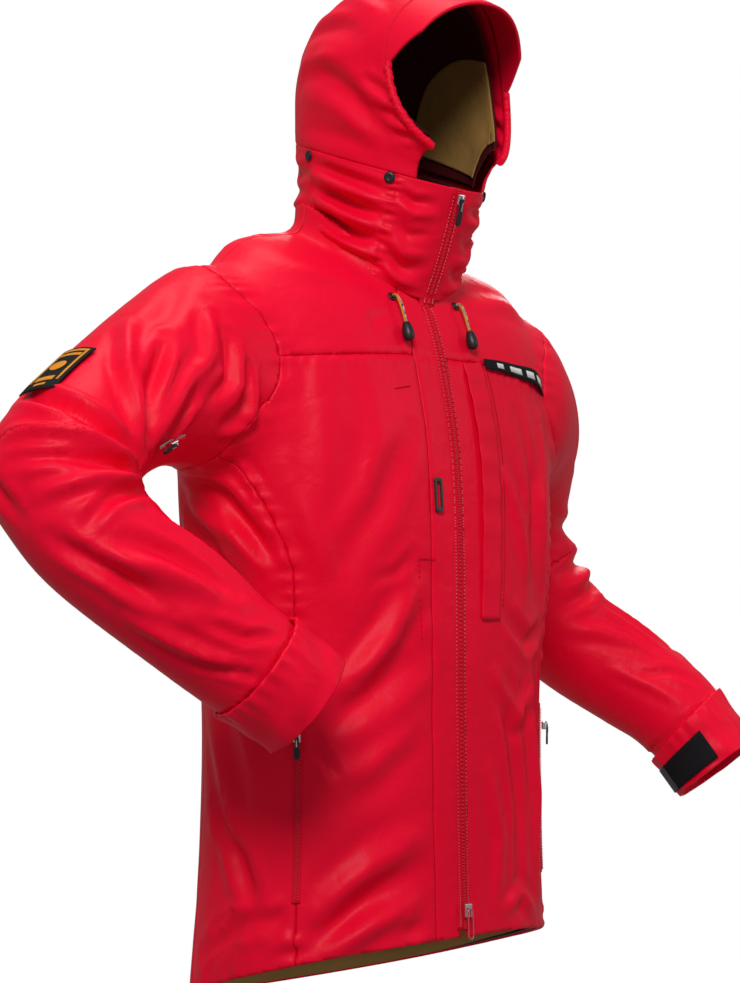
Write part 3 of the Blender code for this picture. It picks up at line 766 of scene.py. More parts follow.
def fold(co, normals, surface, places, width, height):
    """Raises a soft fold, or sinks a valley if height is negative, through places on a surface."""
    raw = [np.array(surface(*p)) for p in places]
    points = []
    for i in range(len(raw) - 1):
        for f in (0.0, 0.34, 0.67):
            u = places[i][0] + (places[i + 1][0] - places[i][0]) * f
            v = places[i][1] + (places[i + 1][1] - places[i][1]) * f
            points.append(np.array(surface(u, v)))
    points.append(raw[-1])
    distance, along = polyline_distance(co, np.array(points))
    taper = np.sin(np.pi * np.clip(along, 0.03, 0.97)) ** 0.6
    crest = np.exp(-(distance / width) ** 2)
    foot = np.exp(-((distance - 2.1 * width) / (0.9 * width)) ** 2)
    co += normals * (height * taper * (crest - 0.45 * foot))[:, None]


# folds of the body: places as (degrees, ring), width and height in metres
BODY_FOLDS = [
    # gathers under the yoke, wearer's right
    (((-46, 3.35), (-45, 3.75)), 0.0060, -0.0008),
    (((-39, 3.25), (-39, 4.0), (-44, 5.2)), 0.0120, 0.0016),
    (((-29, 3.1), (-27, 3.9), (-34, 4.9)), 0.0120, -0.0014),
    # from the yoke to the waist
    (((-12, 3.9), (-22, 4.7), (-38, 5.3)), 0.013, -0.0032),
    (((-52, 4.4), (-45, 5.0), (-36, 5.5)), 0.012, 0.0024),
    # pulled from the bent arm to the zip
    (((-12, 5.35), (-22, 5.65), (-36, 5.95)), 0.012, 0.0062),
    (((-12, 5.75), (-27, 6.0), (-48, 6.25)), 0.015, -0.0064),
    (((-14, 6.2), (-30, 6.45), (-50, 6.6)), 0.013, 0.0040),
    (((-12, 5.1), (-18, 5.25), (-26, 5.3)), 0.006, -0.0022),
    (((-40, 6.55), (-46, 6.4), (-52, 6.35)), 0.006, -0.0026),
    # low on the front
    (((-13, 7.2), (-33, 7.42), (-50, 7.76)), 0.013, -0.0062),
    (((-16, 7.5), (-34, 7.7), (-48, 7.92)), 0.010, 0.0040),
    (((-12, 6.9), (-30, 7.1), (-47, 7.45)), 0.013, 0.0042),
    (((-12, 7.72), (-18, 7.85)), 0.008, -0.0034),
    (((-54, 7.5), (-61, 7.45), (-68, 7.52)), 0.007, -0.0032),
    (((-52, 7.7), (-60, 7.66), (-67, 7.74)), 0.006, 0.0026),
    (((-54, 7.86), (-62, 7.82)), 0.005, -0.0022),
    # wearer's left front
    (((14, 4.15), (20, 4.6), (27, 5.2)), 0.009, 0.0034),
    (((26, 3.6), (32, 4.4), (33, 5.4)), 0.010, -0.0032),
    (((44, 3.7), (40, 4.6), (46, 5.6)), 0.011, 0.0036),
    (((16, 5.5), (30, 5.7), (44, 5.6)), 0.009, -0.0042),
    (((12, 5.9), (24, 6.2), (36, 6.0)), 0.009, 0.0036),
    (((18, 6.0), (26, 6.8), (24, 7.6)), 0.011, -0.0045),
    (((34, 5.9), (40, 6.7), (38, 7.6)), 0.011, 0.0048),
    (((10, 6.5), (14, 7.0), (12, 7.6)), 0.009, 0.0032),
    (((46, 6.4), (50, 7.0), (48, 7.8)), 0.010, -0.0038),
    (((14, 7.7), (24, 7.5), (36, 7.8)), 0.008, 0.0034),
    # armpits to the waist
    (((-99, 4.4), (-78, 4.72), (-62, 5.1)), 0.008, -0.0062),
    (((-96, 4.75), (-76, 5.0), (-63, 5.3)), 0.009, 0.0052),
    (((-104, 4.7), (-82, 5.25), (-65, 5.65)), 0.010, -0.0058),
    (((-80, 4.3), (-70, 4.45), (-62, 4.75)), 0.006, 0.0028),
    (((-94, 5.6), (-84, 6.1), (-74, 6.6)), 0.012, 0.0040),
    (((-96, 6.7), (-84, 7.05), (-74, 7.4)), 0.010, -0.0052),
    (((-98, 7.7), (-80, 7.5), (-64, 7.48)), 0.009, -0.0050),
    (((-100, 6.2), (-90, 6.6), (-86, 7.2)), 0.011, 0.0038),
    (((72, 4.4), (66, 5.2), (63, 6.0)), 0.011, -0.0050),
    (((88, 5.2), (86, 6.2), (88, 7.3)), 0.013, 0.0045),
    # back
    (((120, 4.4), (130, 5.6), (128, 7.2)), 0.021, 0.0030),
    (((146, 3.8), (156, 5.2), (152, 7.0)), 0.024, -0.0026),
    (((172, 4.2), (166, 5.6), (172, 7.3)), 0.024, 0.0026),
    (((-120, 4.4), (-132, 5.6), (-130, 7.2)), 0.021, 0.0030),
    (((-148, 3.8), (-154, 5.0), (-150, 6.8)), 0.024, -0.0026),
    # yoke
    (((-34, 0.9), (-52, 1.5), (-64, 1.9)), 0.012, 0.0018),
    (((-16, 1.7), (-22, 2.1), (-20, 2.5)), 0.007, -0.0014),
    (((36, 0.9), (52, 1.7), (62, 2.3)), 0.011, 0.0022),
]
# folds of the sleeves: places as (degrees, section)
RIGHT_FOLDS = [
    # from the shoulder down to the pit
    (((78, 1.6), (104, 2.0), (122, 2.6)), 0.008, -0.0046),
    (((60, 1.7), (88, 2.2), (112, 2.9)), 0.009, 0.0036),
    (((96, 1.4), (120, 1.8), (136, 2.3)), 0.007, -0.0050),
    (((110, 1.3), (132, 1.7), (146, 2.3)), 0.006, 0.0034),
    (((30, 1.6), (50, 2.4), (60, 3.3)), 0.013, -0.0020),
    # into the bend of the elbow
    (((40, 3.0), (74, 3.7), (112, 4.2), (140, 4.5)), 0.010, 0.0050),
    (((70, 2.9), (100, 3.6), (132, 4.3)), 0.009, -0.0068),
    (((98, 2.7), (118, 3.3), (142, 4.0)), 0.008, 0.0046),
    (((118, 2.9), (134, 3.3), (150, 3.8)), 0.006, -0.0042),
    (((14, 4.4), (50, 4.6), (96, 4.8), (136, 4.9)), 0.009, -0.0066),
    (((20, 4.9), (56, 5.0), (100, 5.1), (138, 5.2)), 0.008, 0.0052),
    (((24, 5.3), (58, 5.4), (98, 5.5), (132, 5.5)), 0.007, -0.0048),
    (((30, 5.8), (64, 5.8), (100, 5.8), (130, 5.8)), 0.008, 0.0042),
    (((46, 6.4), (80, 6.2), (112, 6.1), (136, 6.1)), 0.007, -0.0038),
    (((-20, 4.6), (-8, 5.2), (4, 5.9)), 0.009, -0.0036),
    # along the forearm
    (((18, 6.3), (34, 7.0), (40, 7.9)), 0.009, -0.0046),
    (((40, 6.8), (60, 7.4), (74, 8.1)), 0.010, 0.0042),
    (((66, 6.9), (84, 7.6), (96, 8.4)), 0.009, -0.0040),
    (((8, 7.6), (20, 8.3), (36, 9.0)), 0.008, 0.0034),
    (((50, 8.3), (62, 8.8), (84, 9.1)), 0.006, -0.0030),
    (((14, 8.5), (30, 8.9), (40, 9.2)), 0.006, -0.0028),
    (((110, 7.0), (122, 7.9), (126, 8.7)), 0.009, 0.0030),
    (((260, 3.2), (270, 4.4), (285, 5.6)), 0.012, -0.0050),
    (((300, 1.4), (290, 2.4), (280, 3.2)), 0.012, 0.0045),
    (((220, 4.2), (235, 5.0), (230, 6.0)), 0.011, 0.0045),
]
LEFT_FOLDS = [
    (((60, 1.4), (90, 1.9), (120, 2.6)), 0.011, -0.0050),
    (((40, 1.6), (70, 2.2), (95, 3.0)), 0.011, 0.0040),
    (((170, 3.6), (130, 4.1), (90, 4.5)), 0.009, -0.0056),
    (((172, 4.3), (130, 4.7), (90, 5.0)), 0.009, 0.0054),
    (((176, 5.0), (136, 5.3), (96, 5.5)), 0.008, -0.0060),
    (((186, 5.5), (150, 5.9), (112, 6.0)), 0.008, 0.0052),
    (((196, 6.0), (160, 6.4), (118, 6.5)), 0.008, -0.0056),
    (((70, 5.9), (96, 6.3), (110, 7.0)), 0.009, 0.0050),
    (((206, 6.4), (186, 7.1), (170, 7.9)), 0.009, 0.0046),
    (((170, 6.9), (160, 7.5), (160, 8.3)), 0.008, -0.0048),
    (((136, 6.9), (128, 7.6), (124, 8.4)), 0.009, 0.0044),
    (((60, 6.8), (74, 7.5), (92, 8.1)), 0.009, -0.0040),
    (((84, 8.0), (104, 8.4), (126, 8.7)), 0.007, 0.0040),
    (((196, 8.2), (176, 8.6), (160, 9.0)), 0.006, -0.0034),
    (((214, 7.6), (206, 8.3), (200, 9.0)), 0.007, 0.0030),
    (((260, 3.0), (280, 4.2), (300, 5.2)), 0.012, -0.0045),
    (((20, 2.4), (35, 3.4), (40, 4.4)), 0.012, 0.0038),
]
# folds of the collar, on the side of the zip nearer degree 0 and beyond its upright seam
COLLAR_FOLDS = [
    (((102, 2.15), (75, 2.00), (47, 1.92)), 0.0050, -0.0050),
    (((100, 1.90), (74, 1.78), (47, 1.70)), 0.0062, 0.0050),
    (((99, 1.58), (73, 1.46), (47, 1.42)), 0.0060, -0.0056),
    (((98, 1.32), (73, 1.18), (47, 1.16)), 0.0060, 0.0062),
    (((96, 0.98), (76, 0.80), (58, 0.84), (47, 0.96)), 0.0075, -0.0066),
    (((92, 0.64), (68, 0.50), (47, 0.60)), 0.0058, 0.0059),
    (((74, 0.34), (54, 0.28), (38, 0.36)), 0.0048, -0.0042),
    (((41, 2.05), (30, 1.88), (16, 1.98)), 0.0042, -0.0036),
    (((41, 1.74), (28, 1.62), (12, 1.72)), 0.0048, 0.0039),
    (((41, 1.42), (28, 1.26), (13, 1.36)), 0.0045, -0.0042),
    (((41, 1.10), (28, 0.90), (12, 1.00)), 0.0050, 0.0045),
    (((40, 0.74), (27, 0.58), (12, 0.70)), 0.0046, -0.0050),
    (((38, 0.44), (25, 0.30), (11, 0.36)), 0.0046, 0.0039),
    (((140, 2.0), (124, 1.8), (106, 1.9)), 0.0060, -0.0045),
    (((150, 1.3), (130, 1.1), (108, 1.2)), 0.0065, 0.0048),
    (((160, 0.8), (136, 0.6), (110, 0.8)), 0.0060, -0.0048),
]
HOOD_FOLDS = [
    (((112, 4.5), (80, 5.1), (54, 4.95)), 0.0085, -0.0052),
    (((136, 4.7), (119, 5.5), (106, 6.4)), 0.0085, -0.0056),
    (((126, 4.2), (108, 4.8), (92, 5.9)), 0.0090, 0.0042),
    (((110, 3.8), (84, 4.1), (62, 4.25)), 0.0080, 0.0030),
    (((108, 3.1), (84, 3.2), (60, 3.3)), 0.0070, -0.0022),
    (((144, 5.6), (132, 6.2), (122, 6.9)), 0.0070, 0.0030),
    (((82, 5.9), (78, 6.5), (76, 7.1)), 0.0045, -0.0030),
    (((72, 5.8), (69, 6.4), (67, 7.1)), 0.0045, 0.0024),
    (((63, 5.6), (60, 6.3), (58, 7.1)), 0.0042, -0.0028),
    (((54, 5.4), (51, 6.2), (49, 7.1)), 0.0042, 0.0024),
    (((46, 5.2), (43, 6.0), (41, 7.0)), 0.0040, -0.0024),
]


def pucker(co, normals, distance, along, pitch, height, width):
    """Small even ripples beside a sewn line."""
    wave = np.sin(2 * math.pi * along / pitch + 2.2 * np.sin(along * 71.0))
    co += normals * (height * wave * np.exp(-(distance / width) ** 2))[:, None]


def make_folds(mesh):
    """Puckers beside the seams, then the folds, then the flat pocket lines and tucked cuffs."""
    co = coords(mesh)
    normals = vertex_normals(mesh)
    fields = seam_fields(co)
    plain = co.copy()
    front = (co[:, 1] < 0) & (np.abs(co[:, 0]) < 0.06)
    pucker(co, normals, np.where(front, np.abs(co[:, 0]), 1.0), co[:, 2], 0.021, 0.0004, 0.014)
    arm = np.maximum(fields["right_armhole"], fields["left_armhole"]) > 0
    low = (co[:, 2] < yoke_height(co)) & (co[:, 1] < 0) & ~arm
    pucker(co, normals, np.where(low, np.abs(fields["yoke"]), 1.0), co[:, 0], 0.015, 0.0008, 0.012)
    side = (co[:, 2] < -0.2) & (co[:, 1] < 0.02) & ~arm
    pucker(co, normals, np.where(side, np.abs(fields["side_front"]), 1.0), co[:, 2], 0.019, 0.0012,
           0.012)
    for name in ("right_armhole", "left_armhole"):
        pucker(co, normals, np.abs(fields[name]), co[:, 2] + co[:, 1], 0.023, 0.0009, 0.012)
    for table, surface, deeper, slimmer in ((BODY_FOLDS, torso, 1.3, 0.86),
                                            (RIGHT_FOLDS, right_sleeve, 1.75, 0.76),
                                            (LEFT_FOLDS, left_sleeve, 0.9, 0.80)):
        for places, width, height in table:
            fold(co, normals, surface, places, width * slimmer, height * deeper)
    for side, sign in SIDES:
        line = np.array([torso(sign * POCKET, 6.0 + 0.1 * i) for i in range(16)])
        distance, along = polyline_distance(plain, line)
        at = np.linspace(0, 1, len(line))
        target = np.stack([np.interp(along, at, line[:, i]) for i in range(3)], axis=1)
        lift = ((target - co) * normals).sum(axis=1) * np.exp(-(distance / 0.013) ** 4)
        co += normals * lift[:, None]
        k = ARMS[side].locate(co)[0]
        tucked = np.clip((k - CUFF_FROM + 0.04) / 0.05, 0, 1) * (co[:, 0] * sign > 0.2)
        co -= normals * (0.0028 * tucked)[:, None]
    move_to(mesh, co)


def sink_seams(mesh, lines):
    """Presses the cloth in along its seams: pairs of signed distances, in metres, and strength."""
    co = coords(mesh)
    normals = vertex_normals(mesh)
    for values, strength in lines:
        depth = SEAM_DEPTH * strength
        groove = np.exp(-(values / SEAM_HALF) ** 2)
        ridge = np.exp(-((np.abs(values) - RIDGE_OUT) / RIDGE_HALF) ** 2)
        co -= normals * (depth * groove)[:, None]
        co += normals * (depth * 0.3 * ridge)[:, None]
    move_to(mesh, co)


def seam_fields(co):
    """Signed distances to every seam of the body and sleeves, by name."""
    return {
        "right_armhole": sleeve_side(co, "right"),
        "left_armhole": sleeve_side(co, "left"),
        "side_front": angle_field(co, SIDE_FRONT),
        "side_back": angle_field(co, SIDE_BACK),
        "yoke": co[:, 2] - yoke_height(co),
        "back_yoke": co[:, 2] - BACK_YOKE_Z,
        "storm": co[:, 0] + STORM_EDGE,
    }


def yoke_height(co):
    """Height of the yoke seam at the front, which drops a little toward the armholes."""
    return YOKE_Z - 0.09 * np.maximum(np.abs(co[:, 0]) - 0.05, 0.0)


def ring_height(co, ring):
    """Height of a ring of the body above or below points, by where they lie front to back."""
    zf, zb, half, yf, yb, lift = ring
    y = np.clip((co[:, 1] - (yf + yb) / 2) / ((yb - yf) / 2), -1, 1)
    return (zf + zb) / 2 - (zf - zb) / 2 * y + lift * (1 - y * y)


def neck_height(co):
    """Height of the neck seam around the neck."""
    return ring_height(co, TORSO[0])


def neck_cut(co):
    """Positive where the cloth is cut away for the collar: inside the neck, or above it."""
    neck = neck_height(co)
    x = np.abs(co[:, 0]) / NECK_HALF
    y = np.abs(co[:, 1] - 0.002) / NECK_DEEP
    inner = (1.0 - (x ** HOOD_SQUARE + y ** HOOD_SQUARE) ** (1 / HOOD_SQUARE)) * 0.08
    inner = np.minimum(inner, co[:, 2] - neck + 0.016)
    return np.maximum(inner, co[:, 2] - neck - 0.034)


def hem_height(co):
    """Height of the hem, which drops toward the back."""
    return ring_height(co, TORSO[-1])


def panel_names(co):
    """The CAD node each face belongs to, or None where the cloth is cut away."""
    right_k = ARMS["right"].locate(co)[0]
    left_k = ARMS["left"].locate(co)[0]
    right_on = sleeve_side(co, "right") > 0
    left_on = sleeve_side(co, "left") > 0
    front = angle_field(co, SIDE_FRONT) < 0
    back = angle_field(co, SIDE_BACK) > 0
    yoke = yoke_height(co)
    near_neck = (neck_cut(co) > 0) & (np.abs(co[:, 0]) < CUT_REACH)
    hem = hem_height(co)
    names = []
    for i, (x, y, z) in enumerate(co):
        side = "right" if x < 0 else "left"
        if right_on[i] or left_on[i]:
            k = right_k[i] if right_on[i] else left_k[i]
            if k > CUFF_FROM + TUCKED:
                names.append(None)
            else:
                names.append(("upper_sleeve_" if k < ELBOW else "forearm_")
                             + ("right" if right_on[i] else "left"))
            continue
        if near_neck[i] or z < hem[i]:
            names.append(None)
        elif y < 0 and abs(x) < ZIP_HALF:
            names.append(None)
        elif y < 0 and -STORM_EDGE < x < 0:
            names.append("storm_strip")
        elif z > yoke[i] and y < YOKE_MEET_Y:
            names.append("front_yoke_" + side)
        elif z > BACK_YOKE_Z:
            names.append("back_yoke")
        elif front[i]:
            names.append("front_panel_" + side)
        elif back[i]:
            names.append("back_panel")
        else:
            names.append("side_panel_" + side)
    return names


def split_envelope(ob):
    """Cuts the surface along every seam and returns a piece for each panel."""
    bm = bmesh.new()
    bm.from_mesh(ob.data)
    cuts = (
        lambda co: sleeve_side(co, "right"),
        lambda co: sleeve_side(co, "left"),
        lambda co: ARMS["right"].locate(co)[0] - ELBOW + (co[:, 0] > -0.2) * NEVER,
        lambda co: ARMS["left"].locate(co)[0] - ELBOW + (co[:, 0] < 0.24) * NEVER,
        lambda co: np.where(co[:, 0] < -0.2, ARMS["right"].locate(co)[0] - CUFF_FROM - TUCKED, -1.0),
        lambda co: np.where(co[:, 0] > 0.3, ARMS["left"].locate(co)[0] - CUFF_FROM - TUCKED, -1.0),
        lambda co: np.where(np.abs(co[:, 0]) < CUT_REACH, neck_cut(co), -1.0),
        lambda co: np.where(co[:, 2] < -0.6, co[:, 2] - hem_height(co), 1.0),
        lambda co: np.where(co[:, 1] < 0, np.abs(co[:, 0]) - ZIP_HALF, 1.0),
        lambda co: np.where(co[:, 1] < 0, co[:, 0] + STORM_EDGE, 1.0),
        lambda co: np.where(co[:, 1] < YOKE_MEET_Y, co[:, 2] - yoke_height(co), 1.0),
        lambda co: np.where(co[:, 1] > 0.0, co[:, 2] - BACK_YOKE_Z, 1.0),
        lambda co: np.where(co[:, 2] > YOKE_Z - 0.02, co[:, 1] - YOKE_MEET_Y, 1.0),
        lambda co: angle_field(co, SIDE_FRONT),
        lambda co: angle_field(co, SIDE_BACK),
    )
    for value in cuts:
        co = np.array([v.co for v in bm.verts])
        cut_along(bm, value(co))
        bm.verts.index_update()
    centres = np.array([f.calc_center_median() for f in bm.faces])
    names = panel_names(centres)
    pieces = {}
    mesh = bpy.data.meshes.new("cut")
    bm.to_mesh(mesh)
    bm.free()
    normals = vertex_normals(mesh)
    co = coords(mesh)
    for name in sorted({n for n in names if n}):
        faces = [i for i, n in enumerate(names) if n == name]
        part = bmesh.new()
        seen = {}
        for i in faces:
            corner = []
            for index in mesh.polygons[i].vertices:
                if index not in seen:
                    seen[index] = part.verts.new(co[index])
                corner.append(seen[index])
            part.faces.new(corner)
        part.normal_update()
        back = {v: k for k, v in seen.items()}
        for v in part.verts:
            if v.is_boundary:
                v.co -= Vector(normals[back[v]]) * SEAM_DEPTH
        pieces[name] = thicken(add(name + "_cloth", part, RED))
    bpy.data.objects.remove(ob)
    return pieces


def body_cloth():
    """Every panel of the body and sleeves, by the name of the CAD node it replaces."""
    ob = envelope()
    modify(ob, "finer", 'SUBSURF', levels=1, render_levels=1)
    mesh = baked(ob, "envelope_fine")
    make_folds(mesh)
    co = coords(mesh)
    fields = seam_fields(co)
    front = co[:, 1] < 0
    top = co[:, 2] > YOKE_Z - 0.01
    arm = np.maximum(fields["right_armhole"], fields["left_armhole"]) > 0
    lines = [
        (fields["right_armhole"], 0.25), (fields["left_armhole"], 0.25),
        (np.where(top | arm, 1.0, fields["side_front"]), 0.6),
        (np.where(top | arm, 1.0, fields["side_back"]), 0.9),
        (np.where(arm, 1.0, np.where(front, fields["yoke"], fields["back_yoke"])), 1.0),
        (np.where(front, fields["storm"], 1.0), 0.8),
    ]
    sink_seams(mesh, lines)
    return split_envelope(ob)


# ---- hood and collar ----
def refold(ob, table, surface, sign):
    """Folds a piece that was made with patch, and sinks its sewn edges."""
    mesh = ob.data
    co = coords(mesh)
    normals = vertex_normals(mesh)
    for places, width, height in table:
        fold(co, normals, surface, tuple((sign * u, v) for u, v in places), width, height)
    bm = bmesh.new()
    bm.from_mesh(mesh)
    edge = np.array([v.is_boundary for v in bm.verts])
    bm.free()
    co -= normals * (edge * SEAM_DEPTH)[:, None]
    move_to(mesh, co)


def upright_seam(ob, sign):
    """The gathered seam down each side of the collar."""
    co = coords(ob.data)
    normals = vertex_normals(ob.data)
    line = np.array([hood(sign * UPRIGHT, 0.15 + 2.35 * i / 20) for i in range(21)])
    distance, along = polyline_distance(co, line)
    co -= normals * (0.0016 * np.exp(-(distance / 0.0022) ** 2))[:, None]
    pucker(co, normals, distance, along * 0.1, 0.0085, 0.0011, 0.007)
    move_to(ob.data, co)


def blend_hood(ob, node=None):
    """Hides the CAD node that a sheet of the hood replaces, if one is given, and bakes the sheet's
    placement into its mesh.
    """
    if node:
        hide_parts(node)
    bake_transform(ob)


def hood_cloth():
    for side, sign in SIDES:
        near = from_middle(HOOD, HOOD_SQUARE, 4, ZIP_HALF, sign)
        collar = patch("collar_cloth_" + side, hood, near, sign * 180, 0.03, 2.56, 110, 64, RED,
                       HOOD_MID, rise=0.0006)
        refold(collar, COLLAR_FOLDS, hood, sign)
        upright_seam(collar, sign)
        dress(collar, "torso", "collar_" + side)
        cheek = patch("hood_side_cloth_" + side, hood, sign * 30, sign * CROWN_SEAM, COLLAR_SEAM,
                      7.32, 80, 70, RED, HOOD_MID, rise=0.0008)
        refold(cheek, HOOD_FOLDS, hood, sign)
        blend_hood(cheek, "hood_side_" + side)
        channel = []
        for i in range(61):
            deg = sign * (32 + 60 * i / 60)
            swell = 0.0006 * math.sin(i * 1.9) + 0.0004 * math.sin(i * 0.8)
            channel.append(hood(deg, FACE_RING) + Vector((sign * swell, -0.0036 + swell, 0)))
        edge = rope("face_channel_cloth_" + side, channel, 0.0040, RED)
        dress(edge, "hood", "face_channel_" + side)
    crown = patch("hood_crown_cloth", hood, CROWN_SEAM, 360 - CROWN_SEAM, COLLAR_SEAM, 7.34, 50, 70,
                  RED, HOOD_MID, rise=0.0008)
    refold(crown, [], hood, 1)
    blend_hood(crown, "hood_crown")

    def taper(p, n, u, v):
        share = min((88 - abs(u - 180)) / 30.0, 1.0) ** 0.55
        return (hood(u, FACE_RING) + n * 0.0012).lerp(p, max(share, 0.02))
    brim = patch("visor_cloth", hood, 92.1, 267.9, 7.28, 8.0, 120, 12, RED_STIFF, HOOD_MID,
                 rise=0.0012, wall=0.0030, shape=taper)
    dress(brim, "hood", "visor")
    # the hood lining is painted shade: its near-black colour stands in for the shade inside the hood
    lining = patch("hood_lining_cloth", hood, 36, 324, 2.60, 7.2, 90, 50, LINING_SHADE, HOOD_MID,
                   rise=-0.0110)
    blend_hood(lining, "hood_lining")
    # gold fleece strip: its own gold, darkened as painted shade for the inside of the hood
    fleece = patch("hood_fleece", hood, 50, 112, 3.0, 7.15, 40, 50, GOLD_AND_SHADE, HOOD_MID, rise=-0.0126)
    blend_hood(fleece)
    # the collar lining is painted shade in the same way, its near-black colour standing in for the
    # shade inside the collar
    neck = patch("collar_lining_cloth", hood, 20, 340, 0.55, 2.45, 90, 20, LINING_SHADE, HOOD_MID,
                 rise=-0.0135)
    dress(neck, "torso", "collar_lining")
    for side, sign in SIDES:
        for where, deg in (("front", 47), ("rear", 104)):
            m = place(hood, sign * deg, STUD_RING, 0.0006, HOOD_MID)
            stud = turned("stud_" + where + "_" + side, m,
                          [(0.0046, 0), (0.0058, 0.0009), (0.0058, 0.0019), (0.0044, 0.0030),
                           (0.0030, 0.0033), (0.0026, 0.0028), (0.0008, 0.0027)], BLACK, 48)
            dress(stud, "torso", "press_stud_" + where + "_" + side)


# ---- front zip ----
def front_point(t):
    """The line of the front zip, from the top of the collar at 0 to the hem near 14."""
    if t < ZIP_NECK:
        return hood(0, 2.85 - 2.7 * t / ZIP_NECK)
    return torso(0, 0.12 + (t - ZIP_NECK) * 0.785)


def front_frame(t, rise):
    """A frame on the front zip, with Y up along it and Z out of the cloth."""
    a = front_point(t - 0.15)
    b = front_point(t + 0.15)
    up = (a - b).normalized()
    out = (Vector((0, -1, 0)) - up * Vector((0, -1, 0)).dot(up)).normalized()
    m = Matrix((up.cross(out), up, out)).transposed().to_4x4()
    m.translation = (a + b) / 2 + out * rise
    return m


def walk(function, start, end, spacing):
    """Parameters at even distances along a line."""
    steps = 400
    dense = [function(start + (end - start) * i / steps) for i in range(steps + 1)]
    out = [start]
    gone = 0.0
    for i in range(steps):
        gone += (dense[i + 1] - dense[i]).length
        if gone >= spacing:
            gone -= spacing
            out.append(start + (end - start) * (i + 1) / steps)
    return out


def bits(name, frames, size, mat):
    """Many small blocks in one mesh, one in each frame."""
    bm = bmesh.new()
    x, y, z = (q / 2 for q in size)
    for m in frames:
        low = [bm.verts.new(m @ Vector(p)) for p in
               ((-x, -y, -z), (x, -y, -z), (x, y, -z), (-x, y, -z))]
        top = [bm.verts.new(m @ Vector((p[0] * 0.7, p[1] * 0.7, z))) for p in
               ((-x, -y), (x, -y), (x, y), (-x, y))]
        bm.faces.new(reversed(low))
        bm.faces.new(top)
        for i in range(4):
            k = (i + 1) % 4
            bm.faces.new((low[i], low[k], top[k], top[i]))
    return add(name, bm, mat, smooth=False)


def shifted(m, x, y=0.0, z=0.0):
    return m @ Matrix.Translation((x, y, z))


def zip_coil(name, frames, step, size, mat):
    """The teeth of a zip, each a step to one side of the line and the next to the other."""
    teeth = [shifted(m, step if i % 2 else -step) for i, m in enumerate(frames)]
    return bits(name, teeth, size, mat)


def front_zip():
    rows = []
    bm = bmesh.new()
    for i in range(121):
        m = front_frame(0.4 + 13.5 * i / 120, 0.0)
        rows.append([bm.verts.new(m @ Vector((x, 0, z)))
                     for x, z in ((-0.0105, -0.0006), (-0.003, 0.0004), (0.003, 0.0004),
                                  (0.0105, -0.0006))])
    strip(bm, rows)
    bmesh.ops.recalc_face_normals(bm, faces=bm.faces)
    tape = thicken(add("front_tape", bm, TAPE_RED), 0.0007)
    dress(tape, "torso", "zip_tape")
    teeth = [front_frame(t, 0.0021) for t in walk(front_point, 0.5, 13.85, 0.0019)]
    coil = zip_coil("front_coil", teeth, 0.0003, (0.0028, 0.0013, 0.0011), COIL)
    dress(coil, "torso", "zip_coil")
    stitch = []
    for t in walk(front_point, 0.9, 13.8, 0.0034):
        for x in (-0.0056, 0.0056):
            stitch.append(shifted(front_frame(t, 0.0016), x))
    sewing = bits("front_stitches", stitch, (0.0004, 0.0016, 0.0010), STITCH)
    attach(sewing, "torso")


def runner(prefix, m, body, pull_body, width, length, pull_width, pull_long):
    """A zip slider with a bridge, and its pull tab hanging from it."""
    slider = block(prefix + "_slider_body", m, (width, length, 0.0042), (0, 0, 0.0025), SILVER,
                   0.0011)
    bridge = rope(prefix + "_bridge", [m @ Vector((0, y, z)) for y, z in
                                       ((-0.0038, 0.0046), (-0.0034, 0.0060), (0.0, 0.0066),
                                        (0.0034, 0.0060), (0.0038, 0.0046))], 0.0007, SILVER)
    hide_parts(prefix + "_slider")
    for ob in (slider, bridge):
        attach(ob, body)
    w = pull_width / 2
    tab = plate(prefix + "_tab", m,
                [(x * w, 0.0015 - y * pull_long) for x, y in
                 ((-0.45, 0.02), (0.45, 0.02), (0.62, 0.16), (0.66, 0.40), (1.0, 0.62), (1.0, 0.90),
                  (0.62, 1.0), (-0.62, 1.0), (-1.0, 0.90), (-1.0, 0.62), (-0.66, 0.40),
                  (-0.62, 0.16))], 0.0020, 0.0052, BLACK, 0.0006)
    glint = plate(prefix + "_tab_inlay", m,
                  [(x * w, 0.0015 - y * pull_long) for x, y in
                   ((-0.16, 0.14), (0.16, 0.14), (0.24, 0.46), (-0.24, 0.46))],
                  0.0008, 0.0068, SILVER, 0.0002)
    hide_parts(prefix + "_puller")
    for ob in (tab, glint):
        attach(ob, pull_body)


def wire_loop():
    m = front_frame(13.55, 0.0034)
    slider = block("bottom_slider_body", m, (0.0094, 0.0130, 0.0042), (0, 0, 0.0026), SILVER,
                   0.0011)
    dress(slider, "main_zip_bottom_slider", "main_zip_bottom_slider")
    line = [m @ Vector((x, y, 0.0064)) for x, y in rounded(0.0066, 0.0290, 0, -0.0130, 0.0030)]
    loop = rope("bottom_wire_loop", line, 0.0008, WIRE, closed=True)
    dress(loop, "main_zip_bottom_pull", "main_zip_bottom_loop")


def pocket_zips():
    for side, sign in SIDES:
        deg = sign * POCKET
        band = patch("pocket_tape_" + side, torso, deg - sign * 1.7, deg + sign * 1.7, 6.12, 7.37,
                     6, 60, TAPE_RED, MID, rise=0.0011, wall=0.0008)
        dress(band, "torso", "hand_pocket_zip_" + side)
        teeth = [place(torso, deg, 6.16 + 1.18 * i / 103, 0.0020, MID) for i in range(104)]
        coil = zip_coil("pocket_coil_" + side, teeth, 0.0006, (0.0032, 0.0011, 0.0012), COIL)
        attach(coil, "torso")
        m = place(torso, deg, 6.27, 0.0027, MID)
        runner("hand_pocket_" + side, m, "hand_pocket_" + side + "_slider",
               "hand_pocket_" + side + "_pull", 0.0072, 0.0090, 0.0060, 0.0220)


# ---- chest ----
def label_line(deg, ring):
    """The body again, with rings that fall toward the wearer's left arm."""
    return torso(deg, ring + LABEL_SLOPE * (deg - 14.0))


